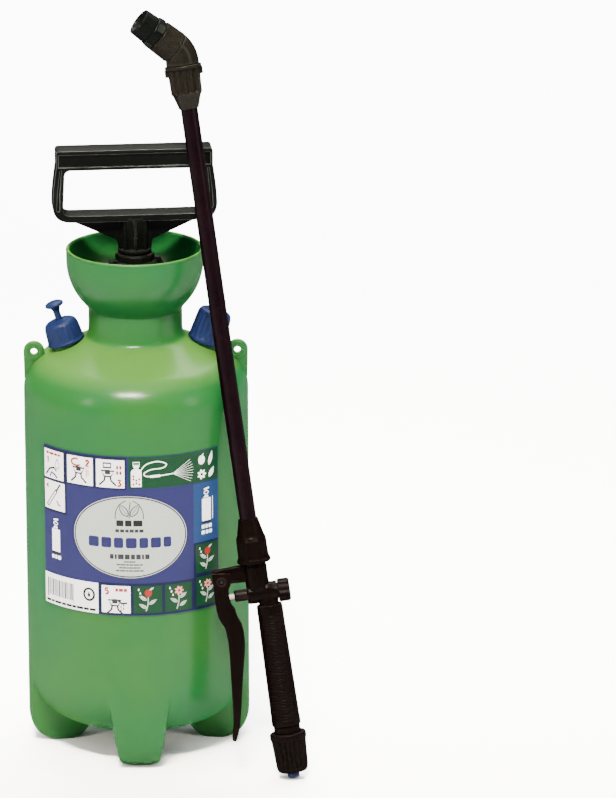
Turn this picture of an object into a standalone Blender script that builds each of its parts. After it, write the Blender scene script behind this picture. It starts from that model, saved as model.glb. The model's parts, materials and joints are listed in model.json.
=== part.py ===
"""Pressure pump sprayer: a tank on four feet with a funnel mouth, a hand pump screwed into its neck,
a relief valve and a hose outlet on the shoulder, and a spray lance that leans on the tank.

Lengths in this file are millimetres; MM turns them into Blender's metres when a mesh or an empty is made.
"""
from math import cos, pi, radians, sin, sqrt, tan

import bmesh
import bpy
from mathutils import Matrix, Vector

MM = 0.001
GAP = 0.3                      # clearance between pieces that touch on the real object

# Where the tank's axis stands, so that the whole object is centred on its origin
TANK_X = -22.4
TANK_Y = 13.1

# Tank
TANK_RADIUS = 90.0
TANK_WALL = 2.6
WALL_TOP = 297.0               # the straight wall ends here and the shoulder begins
SHOULDER_ROUND = 32.0          # radius of the shoulder's corner
SHOULDER_SLOPE = radians(21)
NECK_RADIUS = 37.5
NECK_BORE = 31.0
NECK_LOW = 345.0
NECK_TOP = 364.5
SEAT_Z = 372.0                 # ledge inside the funnel that the pump's gasket sits on
BOWL_RADIUS = 54.7
BOWL_DEPTH = 52.8
BOWL_WIDEST = 404.0            # height at which the funnel is widest
RIM_Z = 413.4
DISH_DEPTH = 13.0              # height of the middle of the underside above the floor
FOOT_HALF_ANGLE = 12.0         # degrees
FOOT_FLANK_ANGLE = 3.5         # degrees taken by a foot's side wall
FOOT_ROUND = 25.0
EYELET_RADIUS = 8.4
EYELET_HOLE = 3.2

# Label
LABEL_FROM = -54.6             # degrees round from the front, towards +X
LABEL_TO = 45.0
LABEL_LOW = 134.2
LABEL_HIGH = 267.0

# The two fittings on the shoulder
RELIEF_R = 54.9
OUTLET_R = 56.0
SHOULDER_R = 55.0              # the shoulder's slope passes through this radius and height
SHOULDER_Z = 334.3
RELIEF_TILT = radians(17)
OUTLET_TILT = radians(18)
SPIGOT_RADIUS = 10.5
SPIGOT_BORE = 7.5
SPIGOT_HEIGHT = 10.0

# Pump
BARREL_RADIUS = 19.0
BARREL_BORE = 17.0
BARREL_LOW = 168.0
BARREL_TOP = 371.6
NUT_TOP = 409.0
ROD_RADIUS = 5.0
HUB_RADIUS = 13.5
HUB_LOW = 409.6
PIN_Z = 424.0
HANDLE_DEPTH = 21.0
HANDLE_TURN = radians(4)
NUT_TURN = radians(20)

# Lance: its frame stands on the floor at LANCE_FOOT with +Z up the tube and +X to the right
LANCE_FOOT = (116.1, -104.7, 0.25)
LANCE_LEAN = (-0.1357, 0.1430, 1.0)
TUBE_RADIUS = 6.75
GRIP_X = 7.0                   # the grip's axis lies this far right of the tube's axis
VALVE_Z = 152.5                # height of the cross bore that holds the trigger valve
PIVOT_X = -28.1
PIVOT_Z = 166.5
PIN_RADIUS = 1.5
ELBOW_Z = 588.0
ELBOW_BEND = radians(46)
HEAD_TURN = radians(16)        # the nozzle points this far forward of the lance's -X
ELBOW_RADIUS = 13.0
ELBOW_SPIGOT = 9.5

# Finish of each kind of piece: colour, roughness, metallic
GREEN = ((0.09, 0.38, 0.10), 0.35, 0.0)
BLUE = ((0.02, 0.08, 0.30), 0.35, 0.0)
BLACK = ((0.012, 0.012, 0.013), 0.4, 0.0)
UMBER = ((0.022, 0.017, 0.016), 0.4, 0.0)
GREY = ((0.06, 0.055, 0.045), 0.5, 0.0)
RUBBER = ((0.02, 0.02, 0.02), 0.8, 0.0)
NATURAL = ((0.75, 0.73, 0.68), 0.4, 0.0)
PAPER = ((0.03, 0.05, 0.30), 0.5, 0.0)
STEEL = ((0.6, 0.6, 0.6), 0.3, 1.0)


def clear_scene():
    for old in list(bpy.data.objects):
        bpy.data.objects.remove(old, do_unlink=True)


def empty(name, parent=None, place=(0, 0, 0), rotation=None):
    frame = bpy.data.objects.new(name, None)
    bpy.context.collection.objects.link(frame)
    frame.parent = parent
    frame.location = Vector(place) * MM
    if rotation is not None:
        frame.rotation_euler = rotation.to_euler()
    return frame


def finish_mesh(name, mesh, finish, parent):
    colour, roughness, metallic = finish
    material = bpy.data.materials.new(name)
    material.use_nodes = True
    shader = material.node_tree.nodes["Principled BSDF"]
    shader.inputs["Base Color"].default_value = (*colour, 1.0)
    shader.inputs["Roughness"].default_value = roughness
    shader.inputs["Metallic"].default_value = metallic
    mesh.materials.append(material)
    piece = bpy.data.objects.new(name, mesh)
    bpy.context.collection.objects.link(piece)
    piece.parent = parent
    return piece


def mesh_from(name, points, faces):
    """A mesh from points in millimetres, with every face turned outwards."""
    mesh = bpy.data.meshes.new(name)
    mesh.from_pydata([tuple(Vector(point) * MM) for point in points], [], faces)
    shape = bmesh.new()
    shape.from_mesh(mesh)
    bmesh.ops.recalc_face_normals(shape, faces=shape.faces)
    shape.to_mesh(mesh)
    shape.free()
    mesh.shade_smooth()
    mesh.set_sharp_from_angle(angle=radians(35))
    return mesh


def join_rings(rings, closed):
    """Faces between rings of point numbers; a ring of one number is a point on the axis."""
    faces = []
    pairs = list(zip(rings, rings[1:]))
    if closed:
        pairs.append((rings[-1], rings[0]))
    for low, high in pairs:
        count = max(len(low), len(high))
        for i in range(count):
            j = (i + 1) % count
            if len(low) == 1:
                faces.append((low[0], high[j], high[i]))
            elif len(high) == 1:
                faces.append((low[i], low[j], high[0]))
            else:
                faces.append((low[i], low[j], high[j], high[i]))
    return faces


def turned_mesh(name, profile, segments, ribs=0.0):
    """Turns a profile of (radius, height) about Z. A profile that starts on the axis makes a solid;
    any other is a closed loop and makes a ring. A third value of 1 on a point lets every second
    corner of its ring sink by `ribs`, which makes upright ribs."""
    points = []
    rings = []
    for station in profile:
        radius, height = station[:2]
        if radius == 0:
            rings.append([len(points)])
            points.append((0, 0, height))
            continue
        ring = []
        for i in range(segments):
            angle = 2 * pi * i / segments
            sunk = ribs if len(station) > 2 and i % 2 else 0.0
            ring.append(len(points))
            points.append(((radius - sunk) * cos(angle), (radius - sunk) * sin(angle), height))
        rings.append(ring)
    return mesh_from(name, points, join_rings(rings, closed=profile[0][0] != 0))


def turned(name, profile, finish, parent, segments=24, ribs=0.0):
    return finish_mesh(name, turned_mesh(name, profile, segments, ribs), finish, parent)


def ring(name, inner, outer, low, high, finish, parent, segments=24):
    profile = [(inner, low), (outer, low), (outer, high), (inner, high)]
    return turned(name, profile, finish, parent, segments)


def prism_mesh(name, outline, depth):
    """Extrudes an outline of (x, z) points along Y, half of `depth` to each side."""
    count = len(outline)
    points = [(x, side * depth / 2, z) for side in (-1, 1) for x, z in outline]
    faces = [tuple(range(count)), tuple(range(2 * count - 1, count - 1, -1))]
    for i in range(count):
        j = (i + 1) % count
        faces.append((i, j, j + count, i + count))
    return mesh_from(name, points, faces)


def swept_mesh(name, stations, bore, segments=16):
    """A tube through stations of (centre, direction, outer radius), with a bore of one radius."""
    points = []
    rings = []

    def add_ring(centre, direction, radius):
        turn = Vector((0, 0, 1)).rotation_difference(Vector(direction)).to_matrix()
        numbers = []
        for i in range(segments):
            angle = 2 * pi * i / segments
            offset = turn @ Vector((radius * cos(angle), radius * sin(angle), 0))
            numbers.append(len(points))
            points.append(Vector(centre) + offset)
        rings.append(numbers)

    for centre, direction, radius in stations:
        add_ring(centre, direction, radius)
    last = None
    for centre, direction, _ in reversed(stations):
        if last is None or (Vector(centre) - last).length > GAP:
            add_ring(centre, direction, bore)
        last = Vector(centre)
    return mesh_from(name, points, join_rings(rings, closed=True))


def coil_mesh(name, radius, wire, low, high, turns, sides=5, steps=8):
    """A helical spring with flat ends along Z."""
    points = []
    rings = []
    count = turns * steps
    rise = (high - low - 2 * wire) / count
    for k in range(count + 1):
        angle = 2 * pi * k / steps
        numbers = []
        for i in range(sides):
            around = 2 * pi * i / sides
            reach = radius + wire * cos(around)
            numbers.append(len(points))
            height = low + wire + rise * k + wire * sin(around)
            points.append((reach * cos(angle), reach * sin(angle), height))
        rings.append(numbers)
    faces = join_rings(rings, closed=False)
    faces.append(tuple(rings[0]))
    faces.append(tuple(reversed(rings[-1])))
    return mesh_from(name, points, faces)


def arc(centre_x, centre_z, radius, start, end, steps):
    """Points on an arc, with angles in degrees from +X towards +Z."""
    points = []
    for i in range(steps + 1):
        angle = radians(start + (end - start) * i / steps)
        points.append((centre_x + radius * cos(angle), centre_z + radius * sin(angle)))
    return points


def combine(piece, tool_mesh, operation, parent, place=(0, 0, 0), rotation=None):
    """Adds a closed mesh to a piece or cuts it away, with a hidden tool object."""
    tool = bpy.data.objects.new(tool_mesh.name, tool_mesh)
    bpy.context.collection.objects.link(tool)
    tool.parent = parent
    tool.location = Vector(place) * MM
    if rotation is not None:
        tool.rotation_euler = rotation.to_euler()
    tool.hide_render = True
    tool.display_type = "WIRE"
    step = piece.modifiers.new(tool_mesh.name, "BOOLEAN")
    step.operation = operation
    step.object = tool
    step.solver = "EXACT"


def rod_mesh(name, radius, low, high, segments=16):
    return turned_mesh(name, [(0, low), (radius, low), (radius, high), (0, high)], segments)


ALONG_X = Matrix.Rotation(pi / 2, 3, "Y")        # turns +Z to +X
ALONG_Y = Matrix.Rotation(-pi / 2, 3, "X")       # turns +Z to +Y


# ---------------------------------------------------------------- tank

def shoulder_height(radius, drop=0.0):
    """Height of the straight part of the shoulder, which falls away from the neck."""
    return SHOULDER_Z + (SHOULDER_R - radius) * tan(SHOULDER_SLOPE) - drop


def base_stations(inset):
    """Pairs of (dish point, foot point) from the middle of the underside to the wall."""
    edge = TANK_RADIUS - inset
    dish_x, dish_z = 58.0, 66.0
    reach_x = TANK_RADIUS - dish_x - inset
    reach_z = 40.0 - inset
    foot_x = TANK_RADIUS - FOOT_ROUND
    foot_reach = FOOT_ROUND - inset

    def dish(angle):
        return dish_x + reach_x * sin(radians(angle)), dish_z - reach_z * cos(radians(angle))

    def foot(angle):
        return foot_x + foot_reach * sin(radians(angle)), FOOT_ROUND - foot_reach * cos(radians(angle))

    return [((20, 14.5 + inset), (20, 14.5 + inset)),
            ((36, 18 + inset), (37, 18 + inset)),
            ((47, 21.5 + inset), (46 + 0.4 * inset, 7 + inset)),
            ((58, 26 + inset), (56 + 0.4 * inset, inset)),
            (dish(25), foot(0)),
            (dish(46), foot(35)),
            (dish(67), foot(65)),
            (dish(90), (edge, FOOT_ROUND)),
            ((edge, 72), (edge, 72))]


def base_angles(inset):
    """Directions of the tank's corners in degrees, with lines on both edges of each foot's flanks.
    The foot's inside is narrower by the wall."""
    narrow = inset * 180 / pi / TANK_RADIUS
    edge = FOOT_HALF_ANGLE - narrow
    flank = edge + FOOT_FLANK_ANGLE
    half = [0.4 * FOOT_HALF_ANGLE, edge, flank, 30.0]
    angles = []
    for quarter in range(4):
        for step in [-value for value in reversed(half)] + half + [45.0]:
            angles.append(90.0 * quarter + step)
    return angles


def tank_mesh():
    points = []
    rings = []

    def add_ring(stations):
        numbers = []
        for angle, (radius, height) in stations:
            numbers.append(len(points))
            direction = radians(angle)
            points.append((radius * cos(direction), radius * sin(direction), height))
        rings.append(numbers)

    def add_base(inset, upwards):
        order = base_stations(inset)
        angles = base_angles(inset)
        middle = (0, 0, DISH_DEPTH + inset)
        rows = []
        for dish, foot in order:
            edge = FOOT_HALF_ANGLE + 0.1
            row = []
            for angle in angles:
                off_foot = abs((angle + 45) % 90 - 45)
                row.append((angle, foot if off_foot < edge else dish))
            rows.append(row)
        if upwards:
            rings.append([len(points)])
            points.append(middle)
        for row in rows if upwards else reversed(rows):
            add_ring(row)
        if not upwards:
            rings.append([len(points)])
            points.append(middle)

    def add_profile(profile):
        angles = base_angles(0.0)
        for station in profile:
            add_ring([(angle, station) for angle in angles])

    def corner(inset):
        """The rounded corner of the shoulder and its slope up to the neck."""
        centre = TANK_RADIUS - SHOULDER_ROUND
        top = 90 - SHOULDER_SLOPE * 180 / pi
        return arc(centre, WALL_TOP, SHOULDER_ROUND - inset, 0, top, 3)

    def bowl(inset, heights):
        radius = BOWL_RADIUS - inset
        depth = BOWL_DEPTH - inset
        return [(radius * sqrt(1 - ((BOWL_WIDEST - z) / depth) ** 2), z) for z in heights]

    outside = corner(0.0)
    outside += [(NECK_RADIUS + 3.5, shoulder_height(NECK_RADIUS + 3.5)),
                (NECK_RADIUS + 1, shoulder_height(NECK_RADIUS + 1) + 1.2),
                (NECK_RADIUS, NECK_LOW + 1.5),
                (NECK_RADIUS, NECK_TOP),
                (NECK_RADIUS + 2, NECK_TOP + 3)]
    outside += bowl(0.0, (372.0, 379.0, 389.0, BOWL_WIDEST))
    outside += [(BOWL_RADIUS, RIM_Z - 2), (BOWL_RADIUS - 0.6, RIM_Z), (BOWL_RADIUS - 3, RIM_Z)]
    inside = bowl(3.0, (BOWL_WIDEST, 389.0, 379.0, SEAT_Z))
    inside += [(NECK_BORE, SEAT_Z), (NECK_BORE, shoulder_height(NECK_BORE, 3.2))]
    inside += [(NECK_RADIUS + 7, shoulder_height(NECK_RADIUS + 7, 2.9))]
    inside += reversed(corner(TANK_WALL))
    add_base(0.0, upwards=True)
    add_profile(outside + inside)
    add_base(TANK_WALL, upwards=False)
    return mesh_from("tank", points, join_rings(rings, closed=False))


def eyelet_mesh(side):
    """A flat strap tab that stands on the shoulder's edge; its foot ends inside the wall."""
    centre = TANK_RADIUS - SHOULDER_ROUND
    middle_x = TANK_RADIUS - EYELET_RADIUS - 0.2
    middle_z = 327.7
    outline = arc(centre, WALL_TOP, SHOULDER_ROUND - TANK_WALL / 2, 62, 8, 5)
    outline += [(TANK_RADIUS - 0.4, WALL_TOP + 9)]
    outline += arc(middle_x, middle_z, EYELET_RADIUS, 0, 180, 8)
    return prism_mesh("eyelet_body", [(side * x, z) for x, z in outline], 4.0), (side * middle_x, 0, middle_z)


def make_tank(sprayer, relief_frame, outlet_frame):
    tank = finish_mesh("tank", tank_mesh(), GREEN, sprayer)
    for side in (-1, 1):
        tab, hole_place = eyelet_mesh(side)
        combine(tank, tab, "UNION", sprayer)
        hole = rod_mesh("eyelet_hole", EYELET_HOLE, -4, 4, 12)
        combine(tank, hole, "DIFFERENCE", sprayer, hole_place, ALONG_Y)
    for frame in (relief_frame, outlet_frame):
        combine(tank, rod_mesh("spigot", SPIGOT_RADIUS, -1.5, SPIGOT_HEIGHT, 20), "UNION", frame)
        combine(tank, rod_mesh("spigot_bore", SPIGOT_BORE, -9, SPIGOT_HEIGHT + 3, 20), "DIFFERENCE", frame)


def make_label(sprayer):
    """A thin printed sheet round the front of the tank."""
    steps = 20
    thickness = 0.3
    inner = TANK_RADIUS + GAP + 0.1
    points = []
    rings = []
    for i in range(steps + 1):
        angle = radians(LABEL_FROM + (LABEL_TO - LABEL_FROM) * i / steps)
        numbers = []
        for radius, height in ((inner, LABEL_LOW), (inner + thickness, LABEL_LOW),
                               (inner + thickness, LABEL_HIGH), (inner, LABEL_HIGH)):
            numbers.append(len(points))
            points.append((radius * sin(angle), -radius * cos(angle), height))
        rings.append(numbers)
    faces = join_rings(rings, closed=False) + [tuple(rings[0]), tuple(reversed(rings[-1]))]
    finish_mesh("label", mesh_from("label", points, faces), PAPER, sprayer)


# ---------------------------------------------------------------- shoulder fittings

def make_relief_valve(frame):
    """A pull-to-open relief valve under a ribbed screw cap."""
    ring("relief_seat", 3.2, SPIGOT_BORE - GAP - 0.2, -2, 2, NATURAL, frame, 16)
    turned("relief_seal", [(0, 2.3), (6, 2.3), (6, 3.8), (0, 3.8)], RUBBER, frame, 16)
    stem = [(0, 4.1), (6.2, 4.1), (6.2, 5.6), (2.75, 5.6), (2.75, 29.5), (4.2, 31.2), (7.3, 32.6),
            (7.6, 34), (6.6, 35.6), (0, 36.6)]
    turned("relief_stem", stem, BLUE, frame, 16)
    coil = coil_mesh("relief_spring", 4.5, 0.45, 6.0, 14.6, 3)
    finish_mesh("relief_spring", coil, STEEL, frame)
    cap = [(10.9, 1.7), (15.1, 1.7), (15.1, 3.2), (14.7, 3.8, 1), (13.9, 15, 1), (12.4, 18.6),
           (9.5, 20.2), (3.1, 20.8), (3.1, 15), (8.5, 15), (10.9, 12.5)]
    turned("relief_cap", cap, BLUE, frame, 20, ribs=0.5)


def make_outlet(frame):
    """The hose tail on the shoulder, its gasket and the ribbed nut that clamps it."""
    ring("outlet_gasket", 3.6, 9.8, SPIGOT_HEIGHT + GAP, 11.7, RUBBER, frame, 16)
    tail = [(2.2, -12), (3.2, -12), (3.2, 12), (9.8, 12), (9.8, 15.6), (5.5, 15.6), (5.5, 36.6),
            (4.6, 37.8), (2.2, 37.8)]
    turned("outlet_tail", tail, BLUE, frame, 16)
    nut = [(10.9, 1.7), (15.2, 1.7), (15.2, 3.6), (15.0, 4.6, 1), (13.7, 24.6, 1), (12.0, 27.2),
           (5.9, 27.8), (5.9, 16), (10.4, 16), (10.9, 14)]
    turned("outlet_nut", nut, BLUE, frame, 20, ribs=0.9)


def make_dip_tube(sprayer, frame):
    """The tube that carries liquid from the floor of the tank up to the outlet."""
    outlet = frame.matrix_basis.to_3x3() @ Vector((0, 0, 1))
    top = Vector((OUTLET_R, 0, shoulder_height(OUTLET_R)))
    route = [top + outlet * 8, top - outlet * 6, top - outlet * 16]
    route += [Vector(place) for place in ((47.5, 0, 305), (45.5, 0, 285), (44.5, 0, 240),
                                          (44, 0, 140), (43, 0, 70), (42, 0, 42))]
    stations = []
    for i, place in enumerate(route):
        before = route[max(i - 1, 0)]
        after = route[min(i + 1, len(route) - 1)]
        stations.append((place, (after - before).normalized(), 5.0))
    finish_mesh("dip_tube", swept_mesh("dip_tube", stations, 3.5, 8), NATURAL, sprayer)
    strainer = turned("dip_filter", [(0, 24), (8, 24), (8, 41.4), (5.4, 45), (0, 45)], NATURAL, sprayer, 14)
    strainer.location = Vector((42, 0, 0)) * MM
    socket = rod_mesh("filter_socket", 5.4, 36, 47, 14)
    combine(strainer, socket, "DIFFERENCE", sprayer, (42, 0, 0))


# ---------------------------------------------------------------- pump

def make_pump(pump_frame, nut_frame, handle_frame):
    ring("pump_gasket", NECK_BORE + 0.6, 35.0, SEAT_Z + GAP, SEAT_Z + 2, RUBBER, pump_frame, 20)
    barrel = [(3.2, BARREL_LOW), (BARREL_RADIUS, BARREL_LOW), (BARREL_RADIUS, 343), (24, 343),
              (24, 347.6), (BARREL_RADIUS, 347.6), (BARREL_RADIUS, BARREL_TOP),
              (BARREL_BORE, BARREL_TOP), (BARREL_BORE, BARREL_LOW + 3), (3.2, BARREL_LOW + 3)]
    turned("pump_cylinder", barrel, NATURAL, pump_frame, 20)
    valve = [(0, 164.2), (9, 165.2), (9, 166.4), (2.9, 167.6), (2.9, 171.3), (4.2, 171.3),
             (3, 174), (0, 174)]
    turned("check_valve", valve, RUBBER, pump_frame, 14)
    guide = [(ROD_RADIUS + GAP, 356), (BARREL_BORE - GAP, 356), (BARREL_BORE - GAP, 371.3),
             (8.1, 371.3), (8.1, 406), (ROD_RADIUS + GAP, 406)]
    turned("rod_guide", guide, BLACK, pump_frame, 16)
    nut = [(BARREL_RADIUS + 0.4, 348), (NECK_BORE - 0.4, 348), (NECK_BORE - 0.4, SEAT_Z + 2.3),
           (35, SEAT_Z + 2.3), (35, 380), (30, 381), (16.8, 402.5), (15.6, 403.5),
           (15.6, NUT_TOP - 1), (14.6, NUT_TOP), (8.4, NUT_TOP), (8.4, SEAT_Z),
           (BARREL_RADIUS + 0.4, SEAT_Z)]
    pump_nut = turned("pump_nut", nut, BLACK, nut_frame, 20)
    wings = [(-21, 404), (-24, 395), (-27, 382), (27, 382), (24, 395), (21, 404)]
    combine(pump_nut, prism_mesh("nut_wings", wings, 6.0), "UNION", nut_frame)
    combine(pump_nut, rod_mesh("nut_core", 8.4, 376, 412, 20), "DIFFERENCE", nut_frame)

    rod = [(0, 186), (3.5, 186), (3.5, 202), (ROD_RADIUS, 202), (ROD_RADIUS, 429.5), (0, 429.5)]
    piston_rod = turned("piston_rod", rod, NATURAL, handle_frame, 16)
    pin_place = (0, 0, PIN_Z)
    pin_hole = rod_mesh("rod_pin_hole", PIN_RADIUS + GAP, -20, 20, 10)
    combine(piston_rod, pin_hole, "DIFFERENCE", handle_frame, pin_place, ALONG_Y)
    head = [(3.8, 186), (16.4, 186), (16.4, 190), (13, 190), (13, 195), (16.4, 195), (16.4, 200),
            (8, 201.7), (3.8, 201.7)]
    turned("piston_head", head, NATURAL, handle_frame, 20)
    ring("piston_seal", 13.3, 16.7, 190.3, 194.7, RUBBER, handle_frame, 20)
    pin = turned("rod_pin", [(0, -13.2), (PIN_RADIUS, -13.2), (PIN_RADIUS, 13.2), (0, 13.2)],
                 STEEL, handle_frame, 10)
    pin.location = Vector(pin_place) * MM
    pin.rotation_euler = ALONG_Y.to_euler()
    make_handle(handle_frame, pin_place)


def make_handle(frame, pin_place):
    """A D-shaped handle: one flat loop with a gusset that runs down to the hub."""
    right = [(54, 437), (60, 438.6), (64, 442.8), (65.6, 449), (64.3, 465), (62.3, 480), (62, 493.4),
             (60, 495.6)]
    loop = right + [(-x, z) for x, z in reversed(right)]
    handle = finish_mesh("pump_handle", prism_mesh("pump_handle", loop, HANDLE_DEPTH), BLACK, frame)
    window_right = [(52, 442.4), (56, 443.8), (57.2, 447.5), (55.4, 476), (53, 479.8)]
    window = window_right + [(-x, z) for x, z in reversed(window_right)]
    combine(handle, prism_mesh("handle_window", window, HANDLE_DEPTH + 6), "DIFFERENCE", frame)
    gusset = [(12, 420.5), (48.5, 435.5), (48.5, 440), (-48.5, 440), (-48.5, 435.5), (-12, 420.5)]
    combine(handle, prism_mesh("handle_gusset", gusset, 7.0), "UNION", frame)
    combine(handle, rod_mesh("handle_hub", HUB_RADIUS, HUB_LOW, 439, 24), "UNION", frame)
    combine(handle, rod_mesh("handle_socket", ROD_RADIUS + GAP, HUB_LOW - 3, 430, 20), "DIFFERENCE", frame)
    hole = rod_mesh("handle_pin_hole", PIN_RADIUS + GAP, -20, 20, 10)
    combine(handle, hole, "DIFFERENCE", frame, pin_place, ALONG_Y)


# ---------------------------------------------------------------- lance

def make_hose_end(grip_frame):
    tail = [(2.8, 0), (4.9, 0), (4.9, 15.3), (9.8, 15.3), (9.8, 17.6), (2.8, 17.6)]
    turned("hose_tail", tail, BLUE, grip_frame, 16)
    ring("hose_gasket", 4.0, 9.8, 17.9, 19.3, RUBBER, grip_frame, 16)
    nut = [(5.3, 5), (11.6, 5), (12.4, 6.5), (12.9, 10, 1), (14.0, 31, 1), (14.6, 32.5),
           (14.6, 36.4), (14.0, 37), (10.7, 37), (10.7, 15), (5.3, 15)]
    turned("hose_nut", nut, UMBER, grip_frame, 20, ribs=0.9)


def make_valve_body(lance, grip_frame, valve_frame):
    core = [(0, 19.6), (10.3, 19.6), (10.3, 37.6), (10.5, 38), (10.5, 42.6), (8.8, 43), (8.8, 142.0),
            (7.8, 143.5), (7.8, 157), (6.2, 160), (0, 160)]
    body = turned("valve_body", core, UMBER, grip_frame, 16)
    pipe = [(0, 149), (5, 149), (9.3, 157), (9.3, 186), (0, 186)]
    combine(body, turned_mesh("outlet_pipe", pipe, 16), "UNION", lance)
    combine(body, rod_mesh("valve_barrel", 8.1, -9.2, 15, 16), "UNION", valve_frame)
    arm = [(-5, 163), (-20, 163.5), (-24, 162), (-32, 162), (-34.3, 165), (-34.3, 175.5), (-5, 177)]
    combine(body, prism_mesh("lever_arm", arm, 7.0), "UNION", lance)
    combine(body, rod_mesh("stem_bore", 2.6, -12, 9, 10), "DIFFERENCE", valve_frame)
    combine(body, rod_mesh("gland_bore", 4.95, -12, -3, 14), "DIFFERENCE", valve_frame)
    combine(body, rod_mesh("spring_bore", 6.6, 3, 18, 14), "DIFFERENCE", valve_frame)
    combine(body, rod_mesh("feed_bore", 5.0, 15, VALVE_Z + 1, 16), "DIFFERENCE", grip_frame)
    combine(body, rod_mesh("delivery_bore", 2.7, VALVE_Z + 0.5, 190, 12), "DIFFERENCE", lance)
    hole = rod_mesh("arm_pin_hole", PIN_RADIUS + GAP, -12, 12, 10)
    combine(body, hole, "DIFFERENCE", lance, (PIVOT_X, 0, PIVOT_Z), ALONG_Y)


def make_grip(grip_frame):
    sleeve = [(9.15, 43.3), (11.6, 43.3), (11.6, 48), (10.5, 134), (10.2, 142.6), (9.15, 142.6)]
    turned("grip_sleeve", sleeve, UMBER, grip_frame, 20)
    strainer = [(0, 48), (4.0, 48), (4.0, 96), (4.65, 96), (4.65, 99), (0, 99)]
    turned("grip_filter", strainer, NATURAL, grip_frame, 12)


def make_trigger(trigger_frame, lance):
    """The squeeze lever: two cheeks beside the arm above, one solid finger bar below.
    The outline is measured from the pivot."""
    outline = [(-34.9, 175), (-35.2, 153), (-34.9, 139), (-33, 134), (-30.2, 129), (-29.7, 118),
               (-30.2, 103), (-32.4, 76), (-34.7, 50), (-37.6, 38), (-36.2, 35.5), (-34, 37.5),
               (-29.8, 49), (-22.4, 85), (-17.6, 108), (-16.1, 118), (-16.3, 128), (-19.8, 136),
               (-20.2, 143), (-23.4, 146), (-23.4, 159), (-20.4, 164), (-20.4, 173), (-23, 175)]
    local = [(x - PIVOT_X, z - PIVOT_Z) for x, z in outline]
    lever = finish_mesh("lever", prism_mesh("lever", local, 13.0), UMBER, trigger_frame)
    slot = [(-40, 159.5), (-25.0, 157), (-25.0, 147.5), (-15, 144), (-10, 180), (-40, 180)]
    slot = [(x - PIVOT_X, z - PIVOT_Z) for x, z in slot]
    combine(lever, prism_mesh("lever_slot", slot, 8.0), "DIFFERENCE", trigger_frame)
    hole = rod_mesh("lever_pin_hole", PIN_RADIUS + GAP, -12, 12, 10)
    combine(lever, hole, "DIFFERENCE", trigger_frame, (0, 0, 0), ALONG_Y)
    pin = turned("lever_pin", [(0, -7.2), (PIN_RADIUS, -7.2), (PIN_RADIUS, 7.2), (0, 7.2)],
                 STEEL, lance, 10)
    pin.location = Vector((PIVOT_X, 0, PIVOT_Z)) * MM
    pin.rotation_euler = ALONG_Y.to_euler()


def make_valve(valve_frame):
    """The trigger valve, along the cross bore: gland and stem to the left, spring and cap to the right."""
    ring("stem_gland", 2.5, 4.6, -19.6, -3.4, UMBER, valve_frame, 16)
    stem = [(0, -24.6), (2.2, -24.6), (2.2, 5.1), (5.2, 5.1), (5.2, 6.6), (0, 6.6)]
    turned("valve_stem", stem, NATURAL, valve_frame, 14)
    ring("valve_seal", 2.5, 5.2, 3.4, 4.8, RUBBER, valve_frame, 14)
    coil = coil_mesh("valve_spring", 3.6, 0.4, 6.9, 18.6, 4)
    finish_mesh("valve_spring", coil, STEEL, valve_frame)
    cap = [(0, 25.2), (8.4, 25), (9.4, 24, 1), (9.4, 16.4, 1), (8.6, 15.3), (6.3, 15.3), (6.3, 11),
           (4.6, 11), (4.6, 19), (0, 19)]
    turned("valve_cap", cap, UMBER, valve_frame, 20, ribs=0.9)


def make_lance_tube(lance):
    tube = [(4.0, 187), (9.3, 187), (9.3, 189.4), (TUBE_RADIUS, 189.4), (TUBE_RADIUS, 551.6),
            (9.2, 551.6), (9.2, 554), (4.0, 554)]
    turned("lance_tube", tube, UMBER, lance, 16)
    nut = [(9.65, 178), (13.0, 178), (13.4, 179), (12.8, 195.5), (11.2, 197.5), (7.9, 213.5),
           (7.05, 213.5), (7.05, 189.8), (9.65, 189.8)]
    turned("lance_nut", nut, UMBER, lance, 12)


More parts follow.
